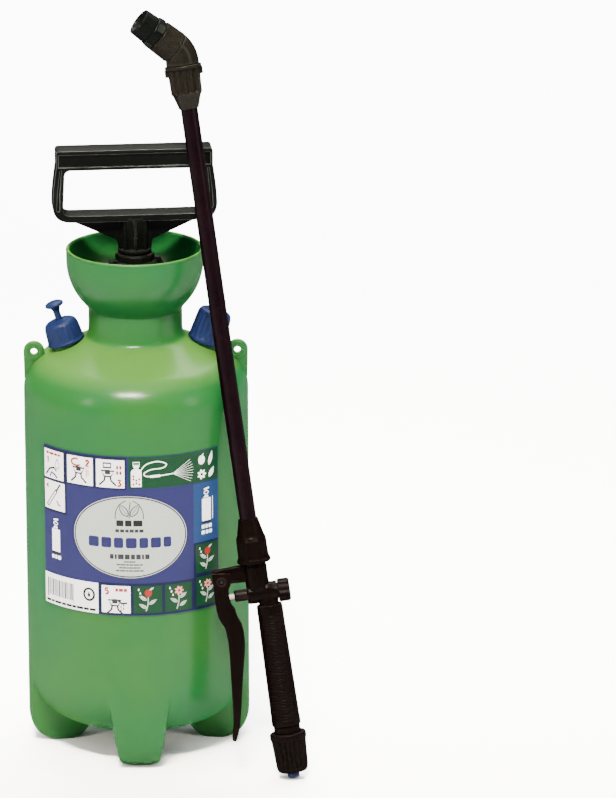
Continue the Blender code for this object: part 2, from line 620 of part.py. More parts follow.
def make_head(lance, nozzle_frame):
    nut = [(7.05, 543.5), (7.7, 543.5), (11.4, 555), (12.4, 556.6, 1), (12.9, 570.5, 1),
           (14.6, 572), (14.6, 577.4), (14.0, 578), (9.8, 578), (9.8, 551.2), (7.05, 551.2)]
    turned("head_nut", nut, BLACK, lance, 20, ribs=0.9)
    ring("elbow_o_ring", 5.0, 9.2, 554.3, 556.0, RUBBER, lance, 16)
    up = Vector((0, 0, 1))
    out = Vector((-sin(ELBOW_BEND) * cos(HEAD_TURN), -sin(ELBOW_BEND) * sin(HEAD_TURN), cos(ELBOW_BEND)))
    vertex = Vector((0, 0, ELBOW_Z))
    reach = 5.5
    stations = [(up * 556.3, up, ELBOW_SPIGOT), (up * 578.3, up, ELBOW_SPIGOT),
                (up * 578.3, up, ELBOW_RADIUS)]
    bends = 3
    for i in range(bends + 1):
        part = i / bends
        start = (1 - part) ** 2
        end = part ** 2
        place = vertex - up * reach * start + out * reach * end
        stations.append((place, up.slerp(out, part), ELBOW_RADIUS))
    stations += [(vertex + out * 6, out, ELBOW_RADIUS), (vertex + out * 6, out, ELBOW_SPIGOT),
                 (vertex + out * 21, out, ELBOW_SPIGOT)]
    finish_mesh("elbow", swept_mesh("elbow", stations, 3.0, 16), BLACK, lance)
    knurled = [(9.9, 6.3), (13.0, 6.3), (13.3, 7, 1), (12.9, 22.2, 1), (12.4, 22.8), (9.9, 22.8)]
    turned("nozzle_ring", knurled, GREY, nozzle_frame, 24, ribs=0.4)
    collar = [(5.4, 23.1), (12.0, 23.1), (12.3, 24), (12.3, 30.2), (11.4, 30.8), (5.4, 30.8)]
    turned("nozzle_collar", collar, BLACK, nozzle_frame, 16)
    tip = [(1.0, 35.4), (1.0, 37.4), (6.5, 39), (9.4, 42.4), (10.8, 42.4), (11.5, 31.1), (5.4, 31.1),
           (5.4, 35.4)]
    turned("nozzle_tip", tip, BLACK, nozzle_frame, 20)
    turned("swirl_core", [(0, 23.4), (5.1, 23.4), (5.1, 33.4), (3, 35), (0, 35)], NATURAL, nozzle_frame, 12)


def lance_rotation():
    """Axes of the lance's frame: +Z up the tube, +X to the right and square to it."""
    up = Vector(LANCE_LEAN).normalized()
    right = (Vector((1, 0, 0)) - up * up.x).normalized()
    back = up.cross(right)
    return Matrix((right, back, up)).transposed()


def main():
    clear_scene()
    sprayer = empty("sprayer", place=(TANK_X, TANK_Y, 0))
    relief_place = (-RELIEF_R, 0, shoulder_height(RELIEF_R))
    outlet_place = (OUTLET_R, 0, shoulder_height(OUTLET_R))
    relief = empty("relief_axis", sprayer, relief_place, Matrix.Rotation(-RELIEF_TILT, 3, "Y"))
    outlet = empty("outlet_axis", sprayer, outlet_place, Matrix.Rotation(OUTLET_TILT, 3, "Y"))
    nut_axis = empty("pump_nut_axis", sprayer, rotation=Matrix.Rotation(NUT_TURN, 3, "Z"))
    handle_axis = empty("handle_axis", sprayer, rotation=Matrix.Rotation(HANDLE_TURN, 3, "Z"))
    lance = empty("lance_axis", sprayer, LANCE_FOOT, lance_rotation())
    grip = empty("grip_axis", lance, (GRIP_X, 0, 0))
    trigger = empty("trigger_axis", lance, (PIVOT_X, 0, PIVOT_Z))
    valve = empty("valve_axis", lance, (0, 0, VALVE_Z), ALONG_X)
    head_turn = Matrix.Rotation(HEAD_TURN, 3, "Z") @ Matrix.Rotation(-ELBOW_BEND, 3, "Y")
    nozzle = empty("nozzle_axis", lance, (0, 0, ELBOW_Z), head_turn)
    bpy.context.view_layer.update()

    make_tank(sprayer, relief, outlet)
    make_label(sprayer)
    make_relief_valve(relief)
    make_outlet(outlet)
    make_dip_tube(sprayer, outlet)
    make_pump(sprayer, nut_axis, handle_axis)
    make_hose_end(grip)
    make_valve_body(lance, grip, valve)
    make_grip(grip)
    make_trigger(trigger, lance)
    make_valve(valve)
    make_lance_tube(lance)
    make_head(lance, nozzle)


main()
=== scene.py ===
"""Looks of the pump sprayer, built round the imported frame. Lengths in this file are millimetres."""
import json
from math import ceil, cos, pi, radians, sin, sqrt

import bmesh
import bpy
from mathutils import Matrix, Vector


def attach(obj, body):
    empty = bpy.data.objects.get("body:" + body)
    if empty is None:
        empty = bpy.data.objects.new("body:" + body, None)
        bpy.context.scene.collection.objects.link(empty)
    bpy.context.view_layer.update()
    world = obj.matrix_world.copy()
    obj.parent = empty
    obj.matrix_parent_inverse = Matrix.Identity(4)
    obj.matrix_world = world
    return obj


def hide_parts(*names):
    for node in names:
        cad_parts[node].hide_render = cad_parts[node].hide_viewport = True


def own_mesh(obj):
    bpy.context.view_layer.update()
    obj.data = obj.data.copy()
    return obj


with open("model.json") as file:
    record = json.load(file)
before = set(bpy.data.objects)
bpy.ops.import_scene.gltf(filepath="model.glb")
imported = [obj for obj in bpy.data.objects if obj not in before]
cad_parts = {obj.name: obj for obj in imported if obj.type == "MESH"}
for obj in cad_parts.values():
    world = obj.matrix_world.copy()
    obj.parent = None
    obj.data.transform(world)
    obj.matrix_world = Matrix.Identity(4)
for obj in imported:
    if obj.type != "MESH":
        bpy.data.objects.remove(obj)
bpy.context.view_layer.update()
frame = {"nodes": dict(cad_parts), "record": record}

MM = 0.001


# ---------------------------------------------------------------- frames of the pieces

def frame_at(place, rotation=None, parent=None):
    """A frame in millimetres: where it stands and how it is turned."""
    matrix = Matrix.Translation(Vector(place))
    if rotation is not None:
        matrix = matrix @ rotation.to_4x4()
    return parent @ matrix if parent is not None else matrix


def lance_rotation():
    up = Vector((-0.1357, 0.1430, 1.0)).normalized()
    right = (Vector((1, 0, 0)) - up * up.x).normalized()
    return Matrix((right, up.cross(right), up)).transposed()


TANK = frame_at((-22.4, 13.1, 0))
RELIEF = frame_at((-54.9, 0, 334.34), Matrix.Rotation(radians(-17), 3, "Y"), TANK)
OUTLET = frame_at((56.0, 0, 333.92), Matrix.Rotation(radians(18), 3, "Y"), TANK)
PUMP_NUT = frame_at((0, 0, 0), Matrix.Rotation(radians(20), 3, "Z"), TANK)
HANDLE = frame_at((0, 0, 0), Matrix.Rotation(radians(4), 3, "Z"), TANK)
LANCE = frame_at((116.1, -104.7, 0.25), lance_rotation(), TANK)
GRIP = frame_at((7.0, 0, 0), None, LANCE)
VALVE = frame_at((0, 0, 152.5), Matrix.Rotation(pi / 2, 3, "Y"), LANCE)
PIVOT = (-28.1, 166.5)      # the lever's pin on the lance, as (x, z)
PIN_BORE = 1.8
ROD_PIN_Z = 424.0           # height of the pin that holds the handle on its rod
BEND = radians(46)
HEAD_TURN = radians(16)
NOZZLE = frame_at((0, 0, 588), Matrix.Rotation(HEAD_TURN, 3, "Z") @ Matrix.Rotation(-BEND, 3, "Y"), LANCE)
ALONG_Y = Matrix.Rotation(-pi / 2, 4, "X")


# ---------------------------------------------------------------- materials

def shader_of(name):
    material = bpy.data.materials.new(name)
    material.use_nodes = True
    nodes = material.node_tree.nodes
    return material, nodes, material.node_tree.links, nodes["Principled BSDF"]


def noise(nodes, links, scale, detail, stretch=None):
    """Noise in the object's own space, which is the row frame in metres."""
    place = nodes.new("ShaderNodeTexCoord")
    texture = nodes.new("ShaderNodeTexNoise")
    texture.inputs["Scale"].default_value = scale
    texture.inputs["Detail"].default_value = detail
    if stretch is None:
        links.new(place.outputs["Object"], texture.inputs["Vector"])
    else:
        mapping = nodes.new("ShaderNodeMapping")
        mapping.inputs["Scale"].default_value = stretch
        links.new(place.outputs["Object"], mapping.inputs["Vector"])
        links.new(mapping.outputs["Vector"], texture.inputs["Vector"])
    return texture.outputs["Fac"]


def spread(nodes, links, value, low, high, start=0.3, end=0.7):
    """Maps a noise value to a range."""
    node = nodes.new("ShaderNodeMapRange")
    node.inputs["From Min"].default_value = start
    node.inputs["From Max"].default_value = end
    node.inputs["To Min"].default_value = low
    node.inputs["To Max"].default_value = high
    links.new(value, node.inputs["Value"])
    return node.outputs["Result"]


def blend_colours(nodes, links, factor, first, second):
    node = nodes.new("ShaderNodeMix")
    node.data_type = "RGBA"
    for socket, colour in (("A", first), ("B", second)):
        target = [s for s in node.inputs if s.name == socket and s.type == "RGBA"][0]
        if hasattr(colour, "is_linked") or hasattr(colour, "links"):
            links.new(colour, target)
        else:
            target.default_value = (*colour, 1.0)
    links.new(factor, node.inputs["Factor"])
    return [s for s in node.outputs if s.type == "RGBA"][0]


def bump(nodes, links, height, strength, distance):
    node = nodes.new("ShaderNodeBump")
    node.inputs["Strength"].default_value = strength
    node.inputs["Distance"].default_value = distance
    links.new(height, node.inputs["Height"])
    return node.outputs["Normal"]


def even_gloss(shader, weight, roughness):
    """A thin strong coat in place of the usual reflection, which gives an even gloss at every angle."""
    shader.inputs["Specular IOR Level"].default_value = 0.0
    shader.inputs["Coat Weight"].default_value = weight
    shader.inputs["Coat IOR"].default_value = 4.0
    shader.inputs["Coat Roughness"].default_value = roughness


def moulded(name, colour, second, roughness=0.38, gloss=0.01, grain=1300.0, grain_depth=0.00008, waves=30.0,
            edge=None, top=None):
    """Moulded plastic with slow changes of colour and a fine grain. `edge` is the colour of sharp edges, a
    painted highlight, and `top` that of faces that look up, painted light from above."""
    material, nodes, links, shader = shader_of(name)
    slow = noise(nodes, links, waves, 3.0)
    tint = blend_colours(nodes, links, spread(nodes, links, slow, 0.0, 1.0), colour, second)
    surface = nodes.new("ShaderNodeNewGeometry")
    # Painted light: faces that look up blend to the lighter `top` colour, which stands in for light from
    # above.
    if top is not None:
        upward = nodes.new("ShaderNodeSeparateXYZ")
        links.new(surface.outputs["Normal"], upward.inputs["Vector"])
        painted_top_light = spread(nodes, links, upward.outputs["Z"], 0.0, 1.0, 0.55, 0.95)
        tint = blend_colours(nodes, links, painted_top_light, tint, top)
    # Painted highlight: sharp edges blend to the lighter `edge` colour, which stands in for light caught
    # along them.
    if edge is not None:
        painted_edge_highlight = spread(nodes, links, surface.outputs["Pointiness"], 0.0, 1.0, 0.53, 0.62)
        tint = blend_colours(nodes, links, painted_edge_highlight, tint, edge)
    links.new(tint, shader.inputs["Base Color"])
    smudge = noise(nodes, links, 60.0, 4.0)
    links.new(spread(nodes, links, smudge, roughness - 0.05, roughness + 0.08), shader.inputs["Roughness"])
    fine = noise(nodes, links, grain, 2.0)
    links.new(bump(nodes, links, fine, 0.35, grain_depth), shader.inputs["Normal"])
    even_gloss(shader, gloss, roughness)
    return material


def printed(name, colour):
    """Ink on a glossy film, with the faint mottle of print."""
    material, nodes, links, shader = shader_of(name)
    dots = noise(nodes, links, 1400.0, 1.0)
    darker = tuple(c * 0.86 for c in colour)
    tint = blend_colours(nodes, links, spread(nodes, links, dots, 0.0, 1.0, 0.35, 0.65), colour, darker)
    links.new(tint, shader.inputs["Base Color"])
    smudge = noise(nodes, links, 45.0, 3.0)
    links.new(spread(nodes, links, smudge, 0.32, 0.44), shader.inputs["Roughness"])
    even_gloss(shader, 0.012, 0.3)
    return material


def drawn_steel(name):
    material, nodes, links, shader = shader_of(name)
    lines = noise(nodes, links, 500.0, 3.0, (1.0, 1.0, 0.08))
    tint = blend_colours(nodes, links, lines, (0.62, 0.62, 0.61), (0.42, 0.42, 0.43))
    links.new(tint, shader.inputs["Base Color"])
    links.new(spread(nodes, links, lines, 0.22, 0.42), shader.inputs["Roughness"])
    shader.inputs["Metallic"].default_value = 1.0
    return material


# The `edge` colours below are painted highlights on sharp edges; the `top` colours are painted light on faces
# that look up.
GREEN = moulded("green_moulded", (0.0080, 0.0385, 0.0062), (0.0018, 0.0330, 0.0094), 0.24, 0.017, 700.0,
                0.00004,
                8.0, edge=(0.040, 0.100, 0.020), top=(0.0230, 0.0600, 0.0098))
BLUE = moulded("blue_moulded", (0.0036, 0.0068, 0.0255), (0.0024, 0.0052, 0.0210), 0.34, 0.014,
               edge=(0.012, 0.024, 0.07))
BLACK = moulded("black_moulded", (0.0011, 0.0014, 0.0012), (0.0008, 0.0010, 0.0009), 0.34, 0.0040,
                edge=(0.008, 0.009, 0.008), top=(0.0034, 0.0036, 0.0034))
# Painted highlight: a light grey for the handle's rounded edges, which stands in for the light caught along
# them.
EDGE_HIGHLIGHT_BLACK = moulded("black_painted_edge_highlight", (0.0420, 0.0430, 0.0410), (0.0140, 0.0145, 0.0140), 0.40, 0.008)
UMBER = moulded("umber_moulded", (0.0012, 0.0006, 0.0005), (0.0008, 0.0004, 0.0003), 0.30, 0.0028,
                edge=(0.007, 0.004, 0.004), top=(0.0030, 0.0022, 0.0022))
TUBE = moulded("tube_drawn", (0.0019, 0.0006, 0.0011), (0.0011, 0.0003, 0.0007), 0.22, 0.0060)
HEAD = moulded("head_moulded", (0.0036, 0.0030, 0.0021), (0.0026, 0.0022, 0.0016), 0.26, 0.009,
               edge=(0.014, 0.013, 0.010), top=(0.0065, 0.0056, 0.0042))
KNURL = moulded("knurled_moulded", (0.0040, 0.0034, 0.0025), (0.0030, 0.0026, 0.0019), 0.50, 0.005, 1500.0,
                0.0001,
                50.0, edge=(0.010, 0.009, 0.007))
NATURAL = moulded("natural_moulded", (0.20, 0.195, 0.175), (0.16, 0.155, 0.14), 0.40, 0.03)
RUBBER = moulded("black_rubber", (0.0040, 0.0040, 0.0040), (0.0028, 0.0028, 0.0028), 0.70, 0.004, 1600.0,
                 0.0002, 60.0)
PIN = moulded("dark_pin", (0.0040, 0.0034, 0.0034), (0.0026, 0.0022, 0.0022), 0.25, 0.020)
STEEL = drawn_steel("drawn_steel")
INK = {name: printed("ink_" + name, colour) for name, colour in {
    "blue": (0.0068, 0.0070, 0.0320),
    "azure": (0.0048, 0.0150, 0.0480),
    "navy": (0.0022, 0.0026, 0.0130),
    "green": (0.0016, 0.0140, 0.0052),
    "white": (0.42, 0.42, 0.43),
    "cream": (0.17, 0.18, 0.17),
    "grey": (0.010, 0.010, 0.013),
    "black": (0.0040, 0.0040, 0.0048),
    "red": (0.120, 0.008, 0.008),
    "rose": (0.28, 0.11, 0.10),
}.items()}

FINISH = {"black_plastic": BLACK, "brown_black_plastic": UMBER, "blue_plastic": BLUE,
          "natural_plastic": NATURAL,
          "black_rubber": RUBBER, "spring_steel": STEEL, "green_plastic": GREEN, "grey_plastic": KNURL,
          "printed_label": INK["blue"]}
OWN_FINISH = {"elbow": HEAD, "head_nut": HEAD, "lance_tube": TUBE, "lever_pin": PIN, "rod_pin": PIN}
SLOT = {part["node"]: part["material_slot"] for part in frame["record"]["subparts"]}


def finish_of(node):
    return OWN_FINISH.get(node, FINISH[SLOT[node]])


# ---------------------------------------------------------------- mesh helpers

def tidy(mesh, angle=32.0):
    shape = bmesh.new()
    shape.from_mesh(mesh)
    bmesh.ops.recalc_face_normals(shape, faces=shape.faces)
    shape.to_mesh(mesh)
    shape.free()
    mesh.shade_smooth()
    mesh.set_sharp_from_angle(angle=radians(angle))
    return mesh


def mesh_of(points, faces, angle=32.0):
    mesh = bpy.data.meshes.new("shape")
    mesh.from_pydata([tuple(point) for point in points], [], faces)
    return tidy(mesh, angle)


def loft(rings, closed):
    """Points and faces through rings of equal length; a ring of one point is a tip."""
    points, numbers, faces = [], [], []
    for ring in rings:
        numbers.append(list(range(len(points), len(points) + len(ring))))
        points += ring
    pairs = list(zip(numbers, numbers[1:]))
    if closed:
        pairs.append((numbers[-1], numbers[0]))
    for low, high in pairs:
        count = max(len(low), len(high))
        for i in range(count):
            j = (i + 1) % count
            if len(low) == 1:
                faces.append((low[0], high[j], high[i]))
            elif len(high) == 1:
                faces.append((low[i], low[j], high[0]))
            else:
                faces.append((low[i], low[j], high[j], high[i]))
    return points, faces


def eased(corner_points, closed=False):
    """Rounds the corners of a line: a third value on a point is how far along each side it starts."""
    out = []
    count = len(corner_points)
    for i, point in enumerate(corner_points):
        here = Vector(point[:2])
        ease = point[2] if len(point) > 2 else 0.0
        if not ease or (not closed and i in (0, count - 1)):
            out.append(tuple(here))
            continue
        before = Vector(corner_points[i - 1][:2])
        after = Vector(corner_points[(i + 1) % count][:2])
        start = here + (before - here) * min(ease / max((before - here).length, 1e-6), 0.48)
        end = here + (after - here) * min(ease / max((after - here).length, 1e-6), 0.48)
        for k in range(6):
            t = k / 5
            out.append(tuple(start * (1 - t) ** 2 + here * (2 * t * (1 - t)) + end * t ** 2))
    return out


def curve_through(points, steps, closed=False):
    """A smooth line through points."""
    count = len(points)
    last = count if closed else count - 1
    out = []
    for i in range(last):
        if closed:
            p = [Vector(points[(i + k) % count]) for k in (-1, 0, 1, 2)]
        else:
            p = [Vector(points[min(max(i + k, 0), count - 1)]) for k in (-1, 0, 1, 2)]
        for k in range(steps):
            t = k / steps
            out.append(0.5 * (2 * p[1] + (p[2] - p[0]) * t + (2 * p[0] - 5 * p[1] + 4 * p[2] - p[3]) * t * t
                              + (3 * p[1] - p[0] - 3 * p[2] + p[3]) * t ** 3))
    if not closed:
        out.append(Vector(points[-1]))
    return [tuple(point) for point in out]


def lathe(profile, segments=64, shape=None, angle=32.0, step=None):
    """Turns (radius, height[, ease]) about Z. `shape` gives the radius at an angle and height."""
    solid = profile[0][0] == 0
    line = eased(profile, closed=not solid)
    if step:
        finer = []
        closing = line[1:] + ([] if solid else line[:1])
        for (r0, z0), (r1, z1) in zip(line, closing):
            pieces = max(1, ceil(abs(z1 - z0) / step))
            finer += [(r0 + (r1 - r0) * k / pieces, z0 + (z1 - z0) * k / pieces) for k in range(pieces)]
        line = finer + ([line[-1]] if solid else [])
    rings = []
    for radius, height in line:
        if radius < 1e-6:
            rings.append([(0, 0, height)])
            continue
        ring = []
        for i in range(segments):
            turn = 2 * pi * i / segments
            r = shape(turn, radius, height) if shape else radius
            ring.append((r * cos(turn), r * sin(turn), height))
        rings.append(ring)
    return mesh_of(*loft(rings, closed=not solid), angle)


def rod(radius, low, high, sides=24):
    """A plain round bar on Z, for cutting holes and for pins."""
    return lathe([(0, low), (radius, low), (radius, high), (0, high)], sides)


def prism(outline, depth, ease=0.0, angle=32.0, segments=3):
    """Extrudes an (x, z) outline along Y, with rounded edges."""
    shape = bmesh.new()
    ring = [shape.verts.new((x, -depth / 2, z)) for x, z in outline]
    face = shape.faces.new(ring)
    grown = bmesh.ops.extrude_face_region(shape, geom=[face])
    bmesh.ops.translate(shape, vec=(0, depth, 0),
                        verts=[v for v in grown["geom"] if isinstance(v, bmesh.types.BMVert)])
    bmesh.ops.recalc_face_normals(shape, faces=shape.faces)
    if ease:
        rims = [e for e in shape.edges if abs(e.verts[0].co.y - e.verts[1].co.y) < 1e-6]
        bmesh.ops.bevel(shape, geom=rims, offset=ease, segments=segments, affect="EDGES", profile=0.5,
                        clamp_overlap=True)
    mesh = bpy.data.meshes.new("prism")
    shape.to_mesh(mesh)
    shape.free()
    return tidy(mesh, angle)


def moved(mesh, matrix):
    mesh.transform(matrix)
    return mesh


def combined(first, steps, angle=32.0, bevel=0.0):
    """Adds meshes to the first one or cuts them away. `bevel` rounds sharp edges, in the second material,
    which is a painted highlight.
    """
    base = bpy.data.objects.new("base", first)
    bpy.context.collection.objects.link(base)
    tools = []
    for operation, mesh in steps:
        tool = bpy.data.objects.new("tool", mesh)
        bpy.context.collection.objects.link(tool)
        tools.append(tool)
        modifier = base.modifiers.new("step", "BOOLEAN")
        modifier.operation = operation
        modifier.object = tool
        modifier.solver = "EXACT"
    if bevel:
        rounding = base.modifiers.new("rounding", "BEVEL")
        rounding.width = bevel
        rounding.segments = 2
        rounding.limit_method = "ANGLE"
        rounding.angle_limit = radians(40)
        rounding.use_clamp_overlap = True
        # The rounded edges take the painted highlight material.
        rounding.material = 1
        first.materials.append(BLACK)
        first.materials.append(EDGE_HIGHLIGHT_BLACK)
    bpy.context.view_layer.update()
    mesh = bpy.data.meshes.new_from_object(base.evaluated_get(bpy.context.evaluated_depsgraph_get()))
    for old in [base, *tools]:
        bpy.data.objects.remove(old, do_unlink=True)
    shape = bmesh.new()
    shape.from_mesh(mesh)
    bmesh.ops.dissolve_degenerate(shape, dist=1e-4, edges=shape.edges)
    shape.to_mesh(mesh)
    shape.free()
    return tidy(mesh, angle)


def piece(node, mesh, place, body, name=None):
    """Puts a mesh in the row frame as the visible form of a CAD node, on the body it rides on."""
    made = ride_along(name or node + "_skin", mesh, place, body, [finish_of(node)])
    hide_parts(node)
    return made


def ride_along(name, mesh, place, body, materials):
    mesh.name = name
    mesh.transform(Matrix.Scale(MM, 4) @ place)
    if not mesh.materials:
        for material in materials:
            mesh.materials.append(material)
    made = bpy.data.objects.new(name, mesh)
    bpy.context.collection.objects.link(made)
    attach(made, body)
    return made


def ribbed(count, depth, low, high, sharpness=1.0, soft=1.5):
    """Upright grooves between two heights, which fade over `soft` at each end."""
    def shape(turn, radius, height):
        fade = min(max((height - low) / soft, 0), 1) * min(max((high - height) / soft, 0), 1)
        wave = (0.5 + 0.5 * cos(count * turn)) ** sharpness
        return radius - depth * fade * wave
    return shape


def faceted(count, low, high, soft=1.0):
    """Flats round a nut between two heights; outside them it is round."""
    def shape(turn, radius, height):
        fade = min(max((height - low) / soft, 0), 1) * min(max((high - height) / soft, 0), 1)
        part = (turn + pi / count) % (2 * pi / count) - pi / count
        flat = radius * cos(pi / count) / cos(part)
        return radius + (flat - radius) * fade
    return shape


def only_outside(shape, least):
    """Applies a shape only where the radius is at least `least`, so bores stay round."""
    return lambda turn, radius, height: shape(turn, radius, height) if radius >= least else radius


# ---------------------------------------------------------------- tank

def bezier(a, b, c, d, t):
    u = 1 - t
    return tuple(u ** 3 * a[k] + 3 * u * u * t * b[k] + 3 * u * t * t * c[k] + t ** 3 * d[k] for k in (0, 1))


def base_pairs(inset, fine):
    """Pairs of points, one on the dished underside and one on a foot, from the middle outwards."""
    dish_turn = radians(25)
    dish_r, dish_z = 32 - inset, 40 - inset
    knee = (58 + dish_r * sin(dish_turn), 66 - dish_z * cos(dish_turn))
    start = (36, 18 + inset)

    def dish(t):
        return bezier(start, (48, 21.6 + inset), (62, 24.2 + inset), knee, t)

    pairs = []
    for k in range(1, fine + 1):
        t = k / fine
        low = bezier((0, 13 + inset), (12, 13 + inset), (24, 14.4 + inset), start, t)
        pairs.append((low, low))
    for k in range(1, 2 * fine + 1):
        t = k / (2 * fine)
        foot = bezier(start, (41, 13 + inset), (46.5 + 0.4 * inset, inset), (56 + 0.4 * inset, inset), t)
        pairs.append((dish(0.62 * t), foot))
    for k in range(1, fine + 1):
        t = k / fine
        pairs.append((dish(0.62 + 0.38 * t), (56 + 0.4 * inset + (9 - 0.4 * inset) * t, inset)))
    for k in range(1, 2 * fine + 1):
        t = k / (2 * fine)
        turn = dish_turn + (pi / 2 - dish_turn) * t
        foot_turn = pi / 2 * t
        pairs.append(((58 + dish_r * sin(turn), 66 - dish_z * cos(turn)),
                      (65 + (25 - inset) * sin(foot_turn), 25 - (25 - inset) * cos(foot_turn))))
    for k in range(1, fine + 1):
        t = k / fine
        pairs.append(((90 - inset, 66 + 6 * t), (90 - inset, 25 + 47 * t)))
    return pairs


def tank_mesh():
    half = [0, 2.5, 5, 7.5, 9.5, 10.5, 11.2, 11.8, 12.3, 12.8, 13.2, 13.6, 14, 14.4, 14.8, 15.2, 15.7, 16.3,
            17, 18, 20, 23, 26.5, 30, 33.5, 37, 41]
    turns = []
    for quarter in range(4):
        turns += [90 * quarter + a for a in [-45] + [-a for a in reversed(half[1:])] + half]

    def on_foot(turn, height, inset):
        off = abs((turn + 45) % 90 - 45) + inset * 180 / (pi * 90)
        start = 10.6 + 1.6 * min(height / 45, 1)
        t = min(max((off - start) / 5.2, 0), 1)
        return 1 - t * t * (3 - 2 * t)

    def base(inset, fine):
        rings = [[(0, 0, 13 + inset)]]
        for dish, foot in base_pairs(inset, fine):
            ring = []
            for turn in turns:
                w = on_foot(turn, foot[1], inset)
                r = dish[0] + (foot[0] - dish[0]) * w
                z = dish[1] + (foot[1] - dish[1]) * w
                ring.append((r * cos(radians(turn)), r * sin(radians(turn)), z))
            rings.append(ring)
        return rings

    def around(line):
        return [[(r * cos(radians(t)), r * sin(radians(t)), z) for t in turns] for r, z in line]

    def corner(inset, steps):
        reach = 32 - inset
        return [(58 + reach * cos(radians(69) * k / steps), 297 + reach * sin(radians(69) * k / steps))
                for k in range(steps + 1)]

    def bowl(inset, heights):
        return [((54.7 - inset) * sqrt(1 - (max(404 - z, 0) / (52.8 - inset)) ** 2), z) for z in heights]

    outside = [(90, z) for z in (100, 134, 170, 210, 250, 275, 290)] + corner(0, 14)
    outside += eased([(66, 328.4), (43, 338.7, 3), (38.5, 341.8, 3), (37.5, 347.6, 2), (37.5, 364.2, 0.8),
                      (39.4, 367.4, 1)] + bowl(0, (370,)))
    outside += bowl(0, [372 + 2.4 * k for k in range(14)])
    outside += eased([(54.7, 408), (54.7, 411.0, 0.6), (54.9, 412.4, 0.6), (54.2, 413.4, 0.8),
                      (52.6, 413.4, 0.8), (51.7, 411.8, 0.8), (51.7, 409)])
    inside = bowl(3, [404 - 2.5 * k for k in range(13)])
    inside += [(39.2, 372.2), (38.6, 372), (31.4, 372), (31, 371.6), (31, 342), (40, 336.5)]
    inside += list(reversed(corner(2.6, 8))) + [(87.4, 200), (87.4, 100)]
    rings = base(0, 5) + around(outside) + around(inside) + list(reversed(base(2.6, 2)))
    return mesh_of(*loft(rings, closed=False), 38.0)


def eyelet(side):
    """A strap tab on the edge of the shoulder, with a raised rim round its hole."""
    middle_x, middle_z, radius = 81.4, 327.7, 8.4
    line = [(58 + 30.6 * cos(radians(a)), 297 + 30.6 * sin(radians(a))) for a in range(62, 7, -4)]
    line += [(89.4, 306)]
    line += [(middle_x + radius * cos(radians(a)), middle_z + radius * sin(radians(a)))
             for a in range(0, 181, 9)]
    tab = prism([(side * x, z) for x, z in line], 3.6, 0.9)
    rim = lathe([(4.2, -2.4, 0.5), (7.4, -2.4, 0.9), (8.35, 0, 0.9), (7.4, 2.4, 0.9), (4.2, 2.4, 0.5)], 40)
    hole = rod(2.7, -6, 6, 32)
    place = Matrix.Translation((side * middle_x, 0, middle_z)) @ ALONG_Y
    return tab, moved(rim, place), moved(hole, place)


def build_tank():
    steps = []
    for side in (-1, 1):
        tab, rim, hole = eyelet(side)
        steps += [("UNION", tab), ("UNION", rim), ("DIFFERENCE", hole)]
    inverse = TANK.inverted()
    for place in (RELIEF, OUTLET):
        collar = lathe([(0, -4), (12.6, -4), (12.6, 0.5, 0.4), (10.5, 1.0, 0.3), (10.5, 10, 0.5), (0, 10)],
                       48)
        bore = rod(7.5, -12, 13, 40)
        steps += [("UNION", moved(collar, inverse @ place)), ("DIFFERENCE", moved(bore, inverse @ place))]
    shell = combined(tank_mesh(), steps, 38.0)
    piece("tank", shell, TANK, "tank", name="tank_shell")


# ---------------------------------------------------------------- label

LABEL_R = 90.7
LABEL_TOP = 267.0
LABEL_TALL = 132.8
LABEL_FROM, LABEL_TO = -54.6, 45.0      # degrees round the tank from its front
FILM_LIFT, FILM_THICK = 0.004, 0.016


def across(degrees):
    """Distance round the tank's front for an angle."""
    return radians(degrees) * LABEL_R


def down(part):
    """Height of a share of the label's own height, from its top."""
    return LABEL_TOP - LABEL_TALL * part


def bent(shape, low, high, count):
    """Cuts a flat shape into upright strips between two angles and bends it round the tank."""
    bmesh.ops.triangulate(shape, faces=[f for f in shape.faces if len(f.verts) > 4])
    low, high = across(low), across(high)
    for k in range(1, count):
        bmesh.ops.bisect_plane(shape, geom=shape.verts[:] + shape.edges[:] + shape.faces[:], dist=1e-5,
                               plane_co=(low + (high - low) * k / count, 0, 0), plane_no=(1, 0, 0))
    for vert in shape.verts:
        turn = vert.co.x / LABEL_R
        r = LABEL_R + vert.co.y
        vert.co = Vector((r * sin(turn), -r * cos(turn), vert.co.z))
    bmesh.ops.recalc_face_normals(shape, faces=shape.faces)
    mesh = bpy.data.meshes.new("label")
    shape.to_mesh(mesh)
    shape.free()
    return mesh


